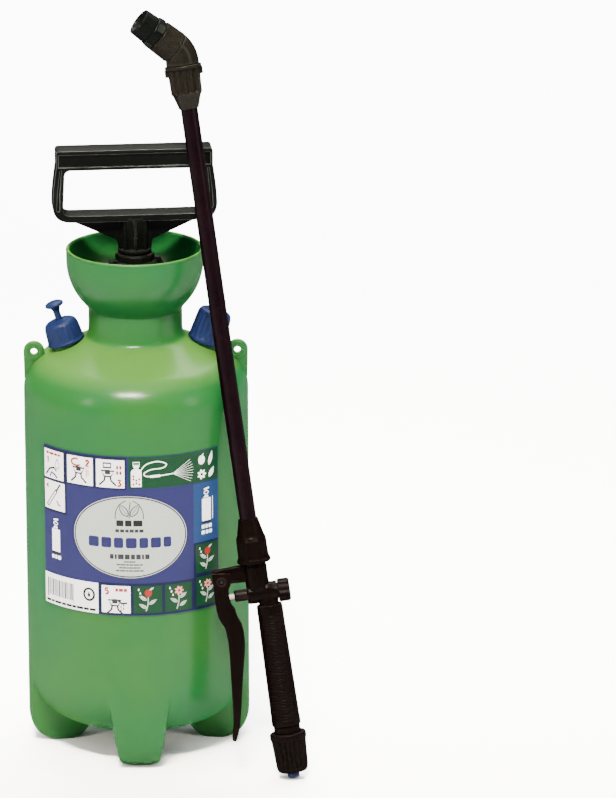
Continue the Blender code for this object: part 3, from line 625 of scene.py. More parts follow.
class Print:
    """Flat inked shapes that are built up in thin films and then bent round the tank."""

    def __init__(self):
        self.shape = bmesh.new()
        self.inks = list(INK)
        self.at()

    def at(self, degrees=0.0, share=None):
        """Sets where later positions start: an angle and a share of the label's height."""
        self.x, self.z = across(degrees), 0.0 if share is None else down(share)

    def layer(self, level):
        return FILM_LIFT + FILM_THICK * (level - 1), FILM_LIFT + FILM_THICK * level

    def corner(self, x, height, z):
        return self.shape.verts.new((self.x + x, height, self.z + z))

    def film(self, outline, ink, level):
        number = self.inks.index(ink)
        rings = [[self.corner(x, height, z) for x, z in outline] for height in self.layer(level)]
        faces = [self.shape.faces.new(rings[1]), self.shape.faces.new(list(reversed(rings[0])))]
        for i in range(len(outline)):
            j = (i + 1) % len(outline)
            faces.append(self.shape.faces.new((rings[0][i], rings[0][j], rings[1][j], rings[1][i])))
        for face in faces:
            face.material_index = number

    def box(self, x0, x1, z0, z1, ink, level=1, ease=0.0):
        line = [(x0, z0, ease), (x1, z0, ease), (x1, z1, ease), (x0, z1, ease)]
        self.film(eased(line, closed=True) if ease else [p[:2] for p in line], ink, level)

    def area(self, a0, a1, v0, v1, ink, level=1, ease=0.0):
        self.box(across(a0), across(a1), down(v1), down(v0), ink, level, ease)

    def round(self, x, z, rx, rz, ink, level=2, count=40, turn=0.0):
        line = []
        for i in range(count):
            a = 2 * pi * i / count
            px, pz = rx * cos(a), rz * sin(a)
            line.append((x + px * cos(turn) - pz * sin(turn), z + px * sin(turn) + pz * cos(turn)))
        self.film(line, ink, level)

    def stroke(self, points, width, ink, level=2, closed=False):
        """A line of one width, as a chain of short quads that share their corners."""
        count = len(points)
        sides = []
        for i, point in enumerate(points):
            if closed:
                before, after = points[i - 1], points[(i + 1) % count]
            else:
                before, after = points[max(i - 1, 0)], points[min(i + 1, count - 1)]
            run = Vector((after[0] - before[0], after[1] - before[1])).normalized()
            half = width / 2
            sides.append(((point[0] - run.y * half, point[1] + run.x * half),
                          (point[0] + run.y * half, point[1] - run.x * half)))
        low, high = self.layer(level)
        number = self.inks.index(ink)
        rings = []
        for left, right in sides:
            corners = [(left, low), (right, low), (right, high), (left, high)]
            rings.append([self.corner(p[0], h, p[1]) for p, h in corners])
        pairs = list(zip(rings, rings[1:]))
        faces = []
        if closed:
            pairs.append((rings[-1], rings[0]))
        else:
            faces += [self.shape.faces.new(rings[0]), self.shape.faces.new(list(reversed(rings[-1])))]
        for one, two in pairs:
            for i in range(4):
                j = (i + 1) % 4
                faces.append(self.shape.faces.new((one[i], two[i], two[j], one[j])))
        for face in faces:
            face.material_index = number

    def arc(self, x, z, rx, rz, start, end, width, ink, level=2, count=28):
        line = []
        for i in range(count + 1):
            a = radians(start + (end - start) * i / count)
            line.append((x + rx * cos(a), z + rz * sin(a)))
        self.stroke(line, width, ink, level)

    def ring(self, x, z, rx, rz, width, ink, level=2, count=96):
        line = [(x + rx * cos(2 * pi * i / count), z + rz * sin(2 * pi * i / count)) for i in range(count)]
        self.stroke(line, width, ink, level, closed=True)

    # Pictograms, each drawn about its middle

    def drop(self, x, z, size, ink, level=2):
        line = curve_through([(x, z + size), (x + 0.35 * size, z + 0.25 * size),
                              (x + 0.5 * size, z - 0.3 * size),
                              (x, z - 0.75 * size), (x - 0.5 * size, z - 0.3 * size),
                              (x - 0.35 * size, z + 0.25 * size)], 4, closed=True)
        self.film(list(reversed(line)), ink, level)

    def leaf(self, x, z, long, wide, turn, ink, vein=None, level=2):
        c, s = cos(radians(turn)), sin(radians(turn))
        line = []
        for i in range(16):
            t = i / 15
            line.append((long * (t - 0.5), wide / 2 * sin(pi * t ** 0.8)))
        line += [(long * (0.5 - i / 15), -wide / 2 * sin(pi * (1 - i / 15) ** 0.8)) for i in range(1, 15)]
        self.film([(x + a * c - b * s, z + a * s + b * c) for a, b in reversed(line)], ink, level)
        if vein:
            ends = [(-0.42 * long, 0), (0.40 * long, 0)]
            self.stroke([(x + a * c - b * s, z + a * s + b * c) for a, b in ends], wide * 0.09, vein,
                        level + 1)

    def flower(self, x, z, size, ink, middle):
        for k in range(7):
            a = 2 * pi * k / 7
            self.round(x + 0.62 * size * cos(a), z + 0.62 * size * sin(a), 0.38 * size, 0.24 * size, ink, 2,
                       14, a)
        self.round(x, z, 0.26 * size, 0.26 * size, middle, 3, 16)

    def bottle(self, x, z, size, ink, drops):
        """A sprayer's outline: tank, neck, funnel and handle, with drops in the tank."""
        s = size / 20
        self.film([(x + a * s, z + b * s) for a, b in
                   [(-4, -9), (4, -9), (4, 3), (3.4, 4.4), (1.7, 5.2), (-1.7, 5.2), (-3.4, 4.4), (-4, 3)]],
                   ink, 2)
        self.film([(x + a * s, z + b * s) for a, b in [(-1.5, 5.6), (1.5, 5.6), (2.5, 7.6), (-2.5, 7.6)]],
                  ink, 2)
        self.stroke([(x + a * s, z + b * s) for a, b in [(-2.4, 8.2), (-2.4, 10.4), (2.4, 10.4), (2.4, 8.2)]],
                    0.75 * s, ink, 2, closed=True)
        for k in range(7):
            self.round(x + (-2.2 + 2.2 * (k % 3)) * s, z + (-7 + 3.2 * (k // 3) + 0.9 * (k % 2)) * s,
                       0.75 * s,
                       1.0 * s, drops, 3, 10)

    def digit(self, x, z, tall, number):
        """One figure of the steps, on a grid two wide and four high."""
        lines = {1: [(0, 1), (1, 2), (1, -2)],
                 2: [(-1, 1), (-0.5, 2), (0.6, 2), (1, 1.2), (-1, -2), (1, -2)],
                 3: [(-1, 2), (1, 2), (0, 0.5), (1, -0.4), (0.8, -1.6), (0, -2), (-1, -1.6)],
                 4: [(0.5, -2), (0.5, 2), (-1, -0.8), (1.2, -0.8)],
                 5: [(1, 2), (-0.8, 2), (-0.9, 0.3), (0.5, 0.4), (1, -0.7), (0.4, -1.9), (-1, -1.8)]}
        self.stroke([(x + a * tall / 4, z + b * tall / 4) for a, b in lines[number]], 0.36 * tall, "red", 3)

    def step_figure(self, x, z):
        """A funnel mouth with a pump in it."""
        self.stroke([(x - 5.4, z + 3), (x - 2.6, z - 1.6), (x + 2.6, z - 1.6), (x + 5.4, z + 3)], 1.5, "grey",
                    3, closed=True)
        self.box(x - 2.2, x + 2.2, z + 0.2, z + 4.0, "grey", 3, 0.6)
        for side in (-1, 1):
            self.stroke([(x + side * 2.2, z - 2), (x + side * 2.8, z - 5), (x + side * 7, z - 9)], 1.5,
                        "grey", 3)

    def wording(self, x0, x1, z, tall, widths, ink, level=3, ease=0.0):
        """Plain blocks where a real label has words."""
        total = sum(widths) + 0.2 * tall * (len(widths) - 1)
        scale = (x1 - x0) / total
        at = x0
        for width in widths:
            self.box(at, at + width * scale, z - tall / 2, z + tall / 2, ink, level, ease)
            at += (width + 0.2 * tall) * scale



def label_sheet():
    line = eased([(across(LABEL_FROM), down(1), 1.2), (across(LABEL_TO), down(1), 1.2),
                  (across(LABEL_TO), down(0), 1.2),
                  (across(LABEL_FROM), down(0), 1.2)], closed=True)
    shape = bmesh.new()
    rings = [[shape.verts.new((x, y, z)) for x, z in line] for y in (-0.28, 0.0)]
    shape.faces.new(rings[1])
    shape.faces.new(list(reversed(rings[0])))
    for i in range(len(line)):
        j = (i + 1) % len(line)
        shape.faces.new((rings[0][i], rings[0][j], rings[1][j], rings[1][i]))
    return tidy(bent(shape, LABEL_FROM, LABEL_TO, 96), 40.0)


def build_label():
    piece("label", label_sheet(), TANK, "tank", name="label_sheet")
    p = Print()

    # Frames and grounds
    p.area(-54.5, -5.3, 0.004, 0.206, "navy")
    p.area(-54.5, -38.1, 0.206, 0.408, "navy")
    p.area(-4.2, 44.8, 0.004, 0.197, "green")
    p.area(29.3, 44.8, 0.205, 0.575, "azure")
    p.area(-20.2, 29.3, 0.795, 0.996, "navy")
    p.area(29.3, 44.8, 0.575, 0.996, "navy")
    for a0, a1, v0, v1 in ((-53.8, -39.9, 0.022, 0.200), (-37.5, -22.6, 0.022, 0.196),
                           (-20.9, -6.3, 0.022, 0.196),
                           (-53.8, -39.3, 0.216, 0.394), (-18.7, -3.9, 0.812, 0.984)):
        p.area(a0, a1, v0, v1, "white", 2, 0.5)
    p.area(-54.5, -20.5, 0.803, 0.996, "white", 2)
    for a0, a1, v0, v1 in ((-2.4, 12.0, 0.812, 0.984), (13.6, 27.9, 0.812, 0.984), (30.6, 44.2, 0.588, 0.770),
                           (30.6, 44.2, 0.795, 0.980)):
        p.area(a0, a1, v0, v1, "green", 2, 0.4)

    # Oval panel
    p.at(-4.15, 0.503)
    rx, rz = across(29.9), LABEL_TALL * 0.262
    p.round(0, 0, rx, rz, "cream", 2, 96)
    p.ring(0, 0, rx - 1.6, rz - 1.6, 0.9, "navy", 3)
    p.ring(0, 0, rx - 0.25, rz - 0.25, 0.5, "navy", 3)
    for side in (-1, 1):
        p.arc(0, 17, 11.2, 13.6, 90 - side * 98, 90 - side * 14, 0.7, "grey", 3)
        p.leaf(side * 4.6, 22.4, 13.0, 5.8, 90 - side * 34, "grey", None, 3)
        p.leaf(side * 4.6, 22.4, 11.2, 4.2, 90 - side * 34, "cream", "grey", 4)
    p.stroke([(0, 15.6), (0, 23), (1.0, 29.4)], 0.7, "grey", 5)
    p.wording(-10.4, 10.4, 11.6, 4.9, [4.4, 4.0, 5.6], "black", 3, 0.8)
    p.wording(-11.2, 11.2, 5.3, 2.5, [2.0, 2.2, 1.8, 2.2, 1.8, 2.2], "grey")
    p.wording(-33.5, 33.5, -4.8, 8.6, [7.4, 7.0, 6.4, 7.4, 6.0, 7.0, 5.4], "blue", 3, 1.8)
    p.wording(-15.8, 15.8, -16.4, 4.0, [2.6, 1.4, 4.0, 3.4, 2.8, 3.2, 1.4, 3.0], "grey", 3, 0.5)
    for k, half in enumerate((4.5, 10.5, 8.5, 11)):
        p.wording(-half, half, -20.6 - 2.5 * k, 1.1, [2, 3, 1.5, 2.5, 3, 2], "grey")

    # Steps in the white boxes: fill, close, pump, carry, spray
    p.at(-46.85, 0.112)
    p.wording(-8.6, 7.6, down(0.044) - down(0.112), 2.0, [2, 3, 2, 1.6], "red")
    p.digit(-7.4, 3.6, 4.6, 1)
    p.drop(4.2, 1.0, 5.0, "grey")
    p.drop(4.2, 0.8, 3.8, "white", 3)
    p.stroke([(-9, -9.4), (-4.5, -3.8), (0.5, -2.2), (3.4, -4.6)], 1.6, "grey", 3)
    p.stroke([(-4, -10.4), (-2.5, -6.5), (1.5, -8.0), (4, -10.4)], 1.6, "grey", 3)
    p.at(-30.05, 0.11)
    p.digit(7.0, 6.8, 5.0, 2)
    p.arc(-3.0, 6.8, 4.4, 2.8, 70, 320, 1.5, "red", 3)
    p.step_figure(-1.0, -0.6)
    for k in range(2):
        p.wording(5.6 + 1.6 * k, 6.6 + 1.6 * k, -1.0, 7.0 - 2 * k, [1], "rose")
    p.at(-13.6, 0.11)
    p.digit(7.2, -7.4, 4.8, 3)
    p.stroke([(-5.4, 8.8), (0.6, 8.8), (0.6, 5.2), (-5.4, 5.2)], 1.6, "grey", 3, closed=True)
    p.step_figure(-2.0, -0.6)
    for k in range(2):
        for row in range(2):
            p.wording(5.0 + 2.6 * k, 6.6 + 2.6 * k, 5.6 - 4.4 * row, 3.0, [1], "red", 3, 0.6)
    p.at(-46.55, 0.305)
    p.digit(-8.0, 7.6, 4.4, 4)
    p.stroke([(-8.0, -9.4), (2.6, 4.6)], 3.2, "grey", 3)
    p.stroke([(-7.2, -8.4), (1.9, 3.7)], 1.4, "white", 4)
    p.stroke([(2.2, 4.0), (6.8, 10.6)], 1.6, "grey", 3)
    p.stroke([(2.5, -3.5), (5.2, -7.5), (7.2, -7.0)], 1.3, "red", 3)
    p.at(-11.3, 0.9)
    p.digit(-7.4, 7.0, 4.8, 5)
    p.wording(-0.4, 9, 8.2, 2.6, [2, 3, 2.4], "red")
    p.step_figure(-1.0, -3.4)
    p.stroke([(1.6, -0.6), (4.6, -3.0), (9, -2.6)], 1.6, "grey", 3)
    for k in range(4):
        p.drop(4.0 + 1.9 * (k % 2), -5.8 - 1.5 * k + 3 * (k % 2), 1.3, "red")

    # Sprayer, hose, lance, spray and plants in the green panel
    p.at(-0.4, 0.105)
    p.bottle(0, -1.5, 21.0, "white", "red")
    hose = curve_through([(3, 2), (8, 7.6), (17, 9.6), (24, 7.0), (21, 4.0),
                          (12, 3.2), (6.5, 0.6), (7, -2.0), (12, -2.6)], 6)
    p.stroke(hose, 0.9, "white")
    p.stroke([(11, -2.6), (19, -2.2)], 2.0, "white")
    p.stroke([(19, -2.2), (30, -1.4)], 0.9, "white")
    for k in range(9):
        angle = radians(-28 + 7.6 * k)
        p.stroke([(29 + 1.5 * cos(angle), -1.4 + 1.5 * sin(angle)),
                  (29 + 18 * cos(angle), -1.4 + 18 * sin(angle))], 0.26, "white")
    p.at(35.2, 0.105)
    p.round(-1.5, 6.0, 3.2, 3.8, "white", 2, 24)
    p.stroke([(-1.5, 9.2), (0.4, 11.0)], 0.7, "white")
    p.leaf(7.4, 6.0, 12.0, 3.6, 74, "white", "green")
    p.flower(-1.3, -6.0, 4.2, "white", "black")
    p.leaf(8.4, -5.6, 9.5, 4.2, 58, "white", "green")

    # Small sprayers at the sides
    for a, v in ((-45.6, 0.556), (37.3, 0.348)):
        p.at(a, v)
        p.box(-4.6, 4.2, -13.4, 5.6, "white", 2, 0.8)
        p.film([(-3.4, 6.2), (1.8, 6.2), (1.2, 8.2), (-1.6, 8.2)], "white", 2)
        p.ring(-0.4, 10.4, 2.1, 1.3, 0.8, "white", 2, 24)
        p.stroke([(-2.6, 13.2), (2.4, 14.0)], 1.3, "white")
        p.stroke([(-0.2, 11.4), (-0.1, 13.2)], 0.9, "white")
        p.box(-4.8, 4.4, -15.0, -13.2, "black", 3)
        p.wording(-5.0, 5.0, -17.8, 3.2, [2.4, 2.0, 2.8], "white", 3, 0.8)
        if a > 0:
            p.wording(-5.2, 5.2, -22.6, 3.0, [2.8, 2.2, 2.4], "white", 3, 0.8)
            p.stroke([(6.0, -12.6), (6.0, 6.2)], 0.6, "white")

    # Plants in the green boxes
    for k, (a, v) in enumerate(((4.8, 0.898), (20.7, 0.898), (37.4, 0.679), (37.4, 0.888))):
        p.at(a, v)
        p.stroke(curve_through([(-1.5, -9.6), (0, -4), (0.3, 2)], 5), 0.9, "cream", 3)
        for row in range(3):
            side = 1 if (row + k) % 2 else -1
            p.leaf(side * 4.0, -5.4 + 3.4 * row, 7.6, 2.9, 90 - side * 58, "cream", "green", 3)
        if k % 2:
            p.flower(0.4, 5.6, 3.9, "rose", "red")
        else:
            p.round(0.4, 5.4, 2.9, 3.2, "red", 3, 20)
            p.leaf(3.2, 9.0, 4.4, 1.7, 32, "cream", None, 4)
        for row in range(3):
            p.drop(-7.2 + 1.2 * row, 8.4 - 3.0 * row, 1.2, "white", 3)

    # Bars and a round mark in the white corner box
    p.at()
    low, high = down(0.955), down(0.835)
    x = across(-52.6)
    for k, width in enumerate((3, 1, 2, 1, 1, 3, 1, 2, 2, 1, 3, 1, 1, 2, 1, 3, 2, 1, 1, 2, 3, 1)):
        wide = 0.42 * width
        p.box(x, x + wide, low + (2.0 if 0 < k < 21 else 0), high, "navy" if k % 3 else "black", 3)
        x += wide + 0.60
    p.ring(across(-25.6), down(0.882), 4.4, 4.8, 1.8, "black", 3, 48)
    p.drop(across(-25.6), down(0.882) - 0.3, 2.6, "black", 3)
    p.wording(across(-53.4), across(-22), down(0.976), 2.0, [3, 2, 4, 2.4, 3, 2, 3.4, 2.6, 3], "black")
    ride_along("label_print", bent(p.shape, -55, 45.2, 64), TANK, "tank", list(INK.values()))


# ---------------------------------------------------------------- shoulder fittings

def helix(radius, wire, low, high, turns, steps=28, sides=10):
    rings = []
    count = turns * steps
    for k in range(count + 1):
        a = 2 * pi * k / steps
        t = k / count
        lift = low + wire + (high - low - 2 * wire) * t
        ring = []
        for i in range(sides):
            b = 2 * pi * i / sides
            reach = radius + wire * cos(b)
            ring.append((reach * cos(a), reach * sin(a), lift + wire * sin(b)))
        rings.append(ring)
    points, faces = loft(rings, closed=False)
    faces += [tuple(range(sides)), tuple(range(len(points) - 1, len(points) - sides - 1, -1))]
    return mesh_of(points, faces, 60.0)


def build_relief():
    grooves = only_outside(ribbed(22, 0.55, 3.9, 18.4, 1.6, 2.2), 11.5)
    cap = [(10.9, 1.7, 0.2), (15.1, 1.7, 0.3), (15.1, 3.1, 0.5), (14.6, 3.9, 0.5), (14.3, 9),
           (13.9, 14.6, 2.0),
           (12.9, 17.8, 1.4), (10.4, 19.8, 1.6), (6.0, 20.4, 0.8), (5.2, 20.8, 0.2), (3.2, 20.8, 0.2),
           (3.2, 15),
           (8.5, 15), (10.9, 12.5)]
    piece("relief_cap", lathe(cap, 176, grooves, 40.0, 1.6), RELIEF, "relief_cap")
    stem = [(0, 4.1), (6.2, 4.1, 0.2), (6.2, 5.6, 0.2), (2.75, 5.6, 0.3), (2.75, 28.6, 1.5), (4.2, 31.0, 0.8),
            (7.1, 32.3, 0.6), (7.6, 33.4, 0.6), (7.2, 34.9, 0.9), (4.0, 36.2, 1.5), (0, 36.5)]
    piece("relief_stem", lathe(stem, 56, None, 40.0), RELIEF, "relief_stem", name="relief_knob")
    coil = piece("relief_spring", helix(4.5, 0.45, 6.0, 14.6, 5), RELIEF, "relief_cap", name="relief_coil")
    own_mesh(coil)


def build_outlet():
    grooves = only_outside(ribbed(20, 1.0, 4.6, 25.6, 1.3, 2.0), 11.5)
    nut = [(10.9, 1.7, 0.2), (15.2, 1.7, 0.3), (15.2, 3.5, 0.6), (14.95, 4.5, 0.5), (13.7, 24.0, 2.0),
           (12.2, 26.9, 1.2), (9.0, 27.8, 0.8), (5.9, 27.8, 0.2), (5.9, 16), (10.4, 16), (10.9, 14)]
    piece("outlet_nut", lathe(nut, 200, grooves, 40.0, 2.0), OUTLET, "outlet_nut")
    tail = [(2.2, -12), (3.2, -12), (3.2, 12), (9.8, 12, 0.2), (9.8, 15.6, 0.2), (5.2, 15.6),
            (5.2, 28.6, 0.2),
            (5.55, 29.4, 0.3), (4.9, 32.2, 0.2), (5.5, 33.0, 0.3), (4.9, 35.6, 0.2), (5.3, 36.3, 0.3),
            (4.6, 37.8, 0.3),
            (2.2, 37.8, 0.2)]
    piece("outlet_tail", lathe(tail, 48), OUTLET, "tank")


# ---------------------------------------------------------------- pump

def build_pump():
    nut = [(19.4, 348), (30.6, 348, 0.3), (30.6, 374.3), (35, 374.3, 0.3), (35, 379.6, 0.8),
           (31.5, 380.6, 1.0),
           (17.4, 401.6, 1.5), (15.6, 403.2, 0.6), (15.6, 408.2, 0.7), (14.4, 409, 0.5), (8.5, 409, 0.2),
           (8.5, 372),
           (19.4, 372)]
    flats = only_outside(faceted(10, 402.8, 409.4, 0.5), 14.2)
    body = lathe(nut, 120, flats, 34.0)
    wide = [(-21, 404, 1), (-25, 396, 3), (-27, 381.5), (27, 381.5), (25, 396, 3), (21, 404, 1)]
    slim = [(-14, 404), (-21, 394, 3), (-31, 381.5), (31, 381.5), (21, 394, 3), (14, 404)]
    wings = [("UNION", prism(eased(wide), 5.0, 0.6)),
             ("UNION", moved(prism(eased(slim), 3.0, 0.6), Matrix.Rotation(pi / 2, 4, "Z")))]
    core = rod(8.5, 376, 412, 60)
    body = combined(body, wings + [("DIFFERENCE", core)], 34.0)
    piece("pump_nut", body, PUMP_NUT, "pump_nut")

    line = [(0, 186), (3.5, 186), (3.5, 202), (5, 202), (5, 429.5, 0.4), (0, 429.5)]
    hole = moved(rod(PIN_BORE, -20, 20), Matrix.Translation((0, 0, ROD_PIN_Z)) @ ALONG_Y)
    rod_mesh = combined(lathe(line, 40), [("DIFFERENCE", hole)])
    piece("piston_rod", rod_mesh, HANDLE, "handle")
    guide = [(5.35, 356), (16.7, 356), (16.7, 371.3), (8.1, 371.3), (8.1, 405.2, 0.5), (7.2, 406, 0.3),
             (5.35, 406, 0.2)]
    piece("rod_guide", lathe(guide, 48), HANDLE, "pump_barrel")
    barrel = [(3.2, 168), (19, 168, 1.5), (19, 343), (24, 343, 0.3), (24, 347.6, 0.3), (19, 347.6),
              (19, 371.6),
              (17, 371.6), (17, 171), (3.2, 171)]
    piece("pump_cylinder", lathe(barrel, 64), TANK, "pump_barrel", name="pump_barrel_skin")
    build_handle()


def mirrored(right):
    return right + [(-p[0], *p[1:]) for p in reversed(right)]


def build_handle():
    """A D-shaped grip with a lip round both faces, over a web and a ribbed hub."""
    loop = eased(mirrored([(30, 437.3), (55, 437.3, 6), (62.2, 440.5, 6), (65.6, 448, 5), (64.6, 464, 4),
                           (62.4, 480.4, 0.8), (62.1, 481.4, 0.4), (62.1, 494.2, 1.6), (60.6, 495.6, 1.0)]),
                           closed=True)
    window = eased(mirrored([(30, 442.5), (54, 442.7, 2.5), (57.1, 445.6, 2.5), (55.5, 477.4, 2.5),
                             (52.6, 479.8, 2.0)]),
                   closed=True)
    body = prism(loop, 21.0)
    steps = [("DIFFERENCE", prism(window, 30.0))]
    top = eased([(-60.3, 482.2, 0.6), (60.3, 482.2, 0.6), (60.3, 492.4, 0.6), (-60.3, 492.4, 0.6)],
                closed=True)
    post = [(62.2, 446.5, 1.5), (61.4, 461, 0), (59.2, 479.9, 0.5), (57.8, 479.9, 0.5), (59.4, 461),
            (59.6, 446.5, 1)]
    for side in (-1, 1):
        for outline in (top, eased(post, closed=True),
                        eased([(-x, *rest) for x, *rest in reversed(post)], closed=True)):
            groove = prism(outline, 6.0)
            steps.append(("DIFFERENCE", moved(groove, Matrix.Translation((0, side * 11.6, 0)))))
    body = combined(body, steps, 34.0, 0.55)
    web = eased(mirrored([(9, 412.5), (12.8, 413.2, 1.5), (14.4, 420.6, 2), (48.5, 436.0, 1.5),
                          (49.5, 438.8)]), closed=True)
    parts = [("UNION", prism(web, 6.6, 0.6))]

    def fins(turn, radius, height):
        if height < 413.2 or height > 436.5 or radius < 9:
            return radius
        edge = abs((turn * 4 / pi + 0.5) % 1 - 0.5)
        return radius if edge < 0.13 else radius - 3.4 * min((edge - 0.13) / 0.06, 1)

    hub = [(0, 409.6), (12.4, 409.6, 0.5), (13.4, 410.4, 0.5), (13.4, 412.6, 0.5), (12.2, 413.4, 0.2),
           (12.2, 437),
           (12.2, 439.8), (0, 439.8)]
    parts.append(("UNION", lathe(hub, 192, fins, 30.0)))
    parts.append(("DIFFERENCE", rod(5.3, 406, 430, 40)))
    hole = rod(PIN_BORE, -20, 20)
    parts.append(("DIFFERENCE", moved(hole, Matrix.Translation((0, 0, ROD_PIN_Z)) @ ALONG_Y)))
    body = combined(body, parts, 32.0)
    piece("pump_handle", body, HANDLE, "handle")


# ---------------------------------------------------------------- lance

def build_grip_end():
    tail = [(2.8, 0, 0.2), (4.5, 0, 0.3), (4.9, 1.2, 0.3), (4.5, 4.0, 0.2), (4.9, 4.8, 0.3), (4.9, 15.3),
            (9.8, 15.3, 0.2),
            (9.8, 17.6, 0.2), (2.8, 17.6)]
    piece("hose_tail", lathe(tail, 48), GRIP, "lance")
    grooves = only_outside(ribbed(20, 1.0, 8.2, 32.4, 2.2, 2.0), 11.0)
    nut = [(5.3, 5, 0.3), (10.9, 5, 1.0), (12.2, 6.8, 0.8), (12.8, 10), (14.0, 31, 0.4), (14.6, 32.4, 0.5),
           (14.6, 36.2, 0.7), (13.9, 37, 0.4), (10.7, 37, 0.3), (10.7, 15), (5.3, 15)]
    piece("hose_nut", lathe(nut, 200, grooves, 36.0, 2.0), GRIP, "hose_nut")

    def rings(turn, radius, height):
        if radius < 9.6 or height < 48.5 or height > 134.5:
            return radius
        wave = 0.5 - 0.5 * cos(2 * pi * (height - 48.5) / 2.45)
        return radius - 0.42 * (1 - wave) ** 1.6 * min(max(abs(sin(turn)) * 4 - 0.25, 0.55), 1)

    sleeve = [(9.15, 43.3), (11.2, 43.3, 0.4), (11.6, 44.2, 0.4), (11.55, 48), (10.45, 134.5),
              (10.4, 138.5, 1.0),
              (10.2, 142.2, 0.4), (9.15, 142.6)]
    piece("grip_sleeve", lathe(sleeve, 72, rings, 60.0, 0.35), GRIP, "lance")


def build_valve():
    to_grip = LANCE.inverted() @ GRIP
    to_valve = LANCE.inverted() @ VALVE
    core = [(0, 19.6), (10.3, 19.6), (10.3, 37.6), (10.5, 38, 0.2), (10.5, 42.6, 0.2), (8.8, 43),
            (8.8, 142.0),
            (7.9, 143.5), (7.9, 156.6, 1.2), (6.0, 160, 1.0), (0, 160)]
    pipe = [(0, 149), (5, 149), (9.3, 157, 1.5), (9.3, 175.4, 0.2), (8.7, 175.8, 0.2), (8.7, 186), (0, 186)]
    barrel = [(0, -9.2), (7.4, -9.2, 0.8), (8.1, -8.0, 0.8), (8.1, 15, 0.3), (0, 15)]
    arm = eased([(-5, 163.2), (-21, 163.6, 2), (-24, 162.2, 1.5), (-31.4, 162.2, 3), (-34.2, 165.2, 3),
                 (-34.2, 175.4, 1.5),
                 (-32, 175.6), (-5, 176.8)], closed=True)
    pocket = eased([(-10, 165.6, 0.8), (-23.5, 165.6, 0.8), (-23.5, 173.6, 0.8), (-10, 174.6, 0.8)],
                   closed=True)
    steps = [("UNION", lathe(pipe, 48)),
             ("UNION", moved(lathe(barrel, 48), to_valve)),
             ("UNION", prism(arm, 7.0, 0.7))]
    for side in (-1, 1):
        steps.append(("DIFFERENCE", moved(prism(pocket, 3.0), Matrix.Translation((0, side * 3.6, 0)))))
    # Bores for the stem, the gland, the spring, the feed from the grip and the delivery to the tube
    for radius, low, high, place in ((2.6, -12, 9, to_valve), (4.95, -12, -3, to_valve),
                                     (6.6, 3, 18, to_valve),
                                     (5.0, 15, 153.5, to_grip), (2.7, 153, 190, Matrix.Identity(4))):
        steps.append(("DIFFERENCE", moved(rod(radius, low, high, 32), place)))
    hole = rod(PIN_BORE, -12, 12)
    steps.append(("DIFFERENCE", moved(hole, Matrix.Translation((PIVOT[0], 0, PIVOT[1])) @ ALONG_Y)))
    body = combined(moved(lathe(core, 56), to_grip), steps, 34.0)
    piece("valve_body", body, LANCE, "lance")

    gland = [(2.5, -19.6, 0.2), (3.9, -19.6, 0.4), (4.6, -18.6, 0.4), (4.6, -3.4), (2.5, -3.4)]
    piece("stem_gland", lathe(gland, 36), VALVE, "lance")
    stem = [(0, -24.6), (1.6, -24.4, 0.4), (2.2, -23.4, 0.4), (2.2, 5.1), (5.2, 5.1, 0.2), (5.2, 6.6, 0.2),
            (0, 6.6)]
    piece("valve_stem", lathe(stem, 36), VALVE, "valve_stem")
    coil = piece("valve_spring", helix(3.6, 0.4, 6.9, 18.6, 6), VALVE, "lance", name="valve_coil")
    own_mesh(coil)
    flutes = only_outside(ribbed(11, 1.25, 15.8, 25.0, 1.0, 0.8), 7.0)
    cap = [(0, 25.0), (4.5, 25.0, 0.5), (5.0, 24.4, 0.3), (6.2, 24.4, 0.3), (6.8, 25.1, 0.4),
           (8.4, 25.0, 0.8),
           (9.4, 23.6, 0.8), (9.4, 16.6, 0.8), (8.6, 15.4, 0.4), (6.3, 15.4), (6.3, 11), (4.6, 11), (4.6, 19),
           (0, 19)]
    piece("valve_cap", lathe(cap, 132, flutes, 36.0, 0.9), VALVE, "valve_cap")


def build_lever():
    outer = [(-34.9, 174), (-35.1, 160), (-35.2, 150), (-34.9, 141), (-33, 134.4), (-30.4, 128.5),
             (-29.7, 118),
             (-30.2, 103), (-32.4, 76), (-34.7, 50), (-36.6, 41.5), (-37.4, 37.4)]
    inner = [(-35.0, 36.4), (-33.4, 39), (-29.8, 49), (-26, 67), (-22.4, 85), (-17.8, 107), (-16.3, 118),
             (-16.6, 127.5), (-19.4, 135), (-20.5, 141.5), (-22.8, 145.4), (-23.4, 150), (-23.4, 159),
             (-20.9, 164),
             (-20.5, 172.5)]
    line = curve_through(outer, 4) + curve_through(inner, 4)
    local = [(x - PIVOT[0], z - PIVOT[1]) for x, z in line]
    body = prism(local, 13.0, 1.5, 34.0, 4)
    slot = [(-40, 159.5), (-25.0, 157), (-25.0, 147.5), (-15, 144), (-10, 180), (-40, 180)]
    slot = [(x - PIVOT[0], z - PIVOT[1]) for x, z in slot]
    steps = [("DIFFERENCE", prism(slot, 8.0))]
    hole = rod(PIN_BORE, -12, 12)
    steps.append(("DIFFERENCE", moved(hole, ALONG_Y)))
    for side in (-1, 1):
        boss = lathe([(2.4, -0.3), (4.0, -0.3), (4.0, 0.25, 0.2), (2.4, 0.25, 0.2)], 32)
        steps.append(("UNION", moved(boss, Matrix.Translation((0, side * 6.5, 0)) @ ALONG_Y)))
    body = combined(body, steps, 34.0)
    place = LANCE @ Matrix.Translation((PIVOT[0], 0, PIVOT[1]))
    piece("lever", body, place, "trigger")
    pin = [(0, -6.9), (1.1, -6.9, 0.2), (1.5, -6.4, 0.2), (1.5, 6.4, 0.2), (1.1, 6.9, 0.2), (0, 6.9)]
    piece("lever_pin", moved(lathe(pin, 28), ALONG_Y), place, "lance")


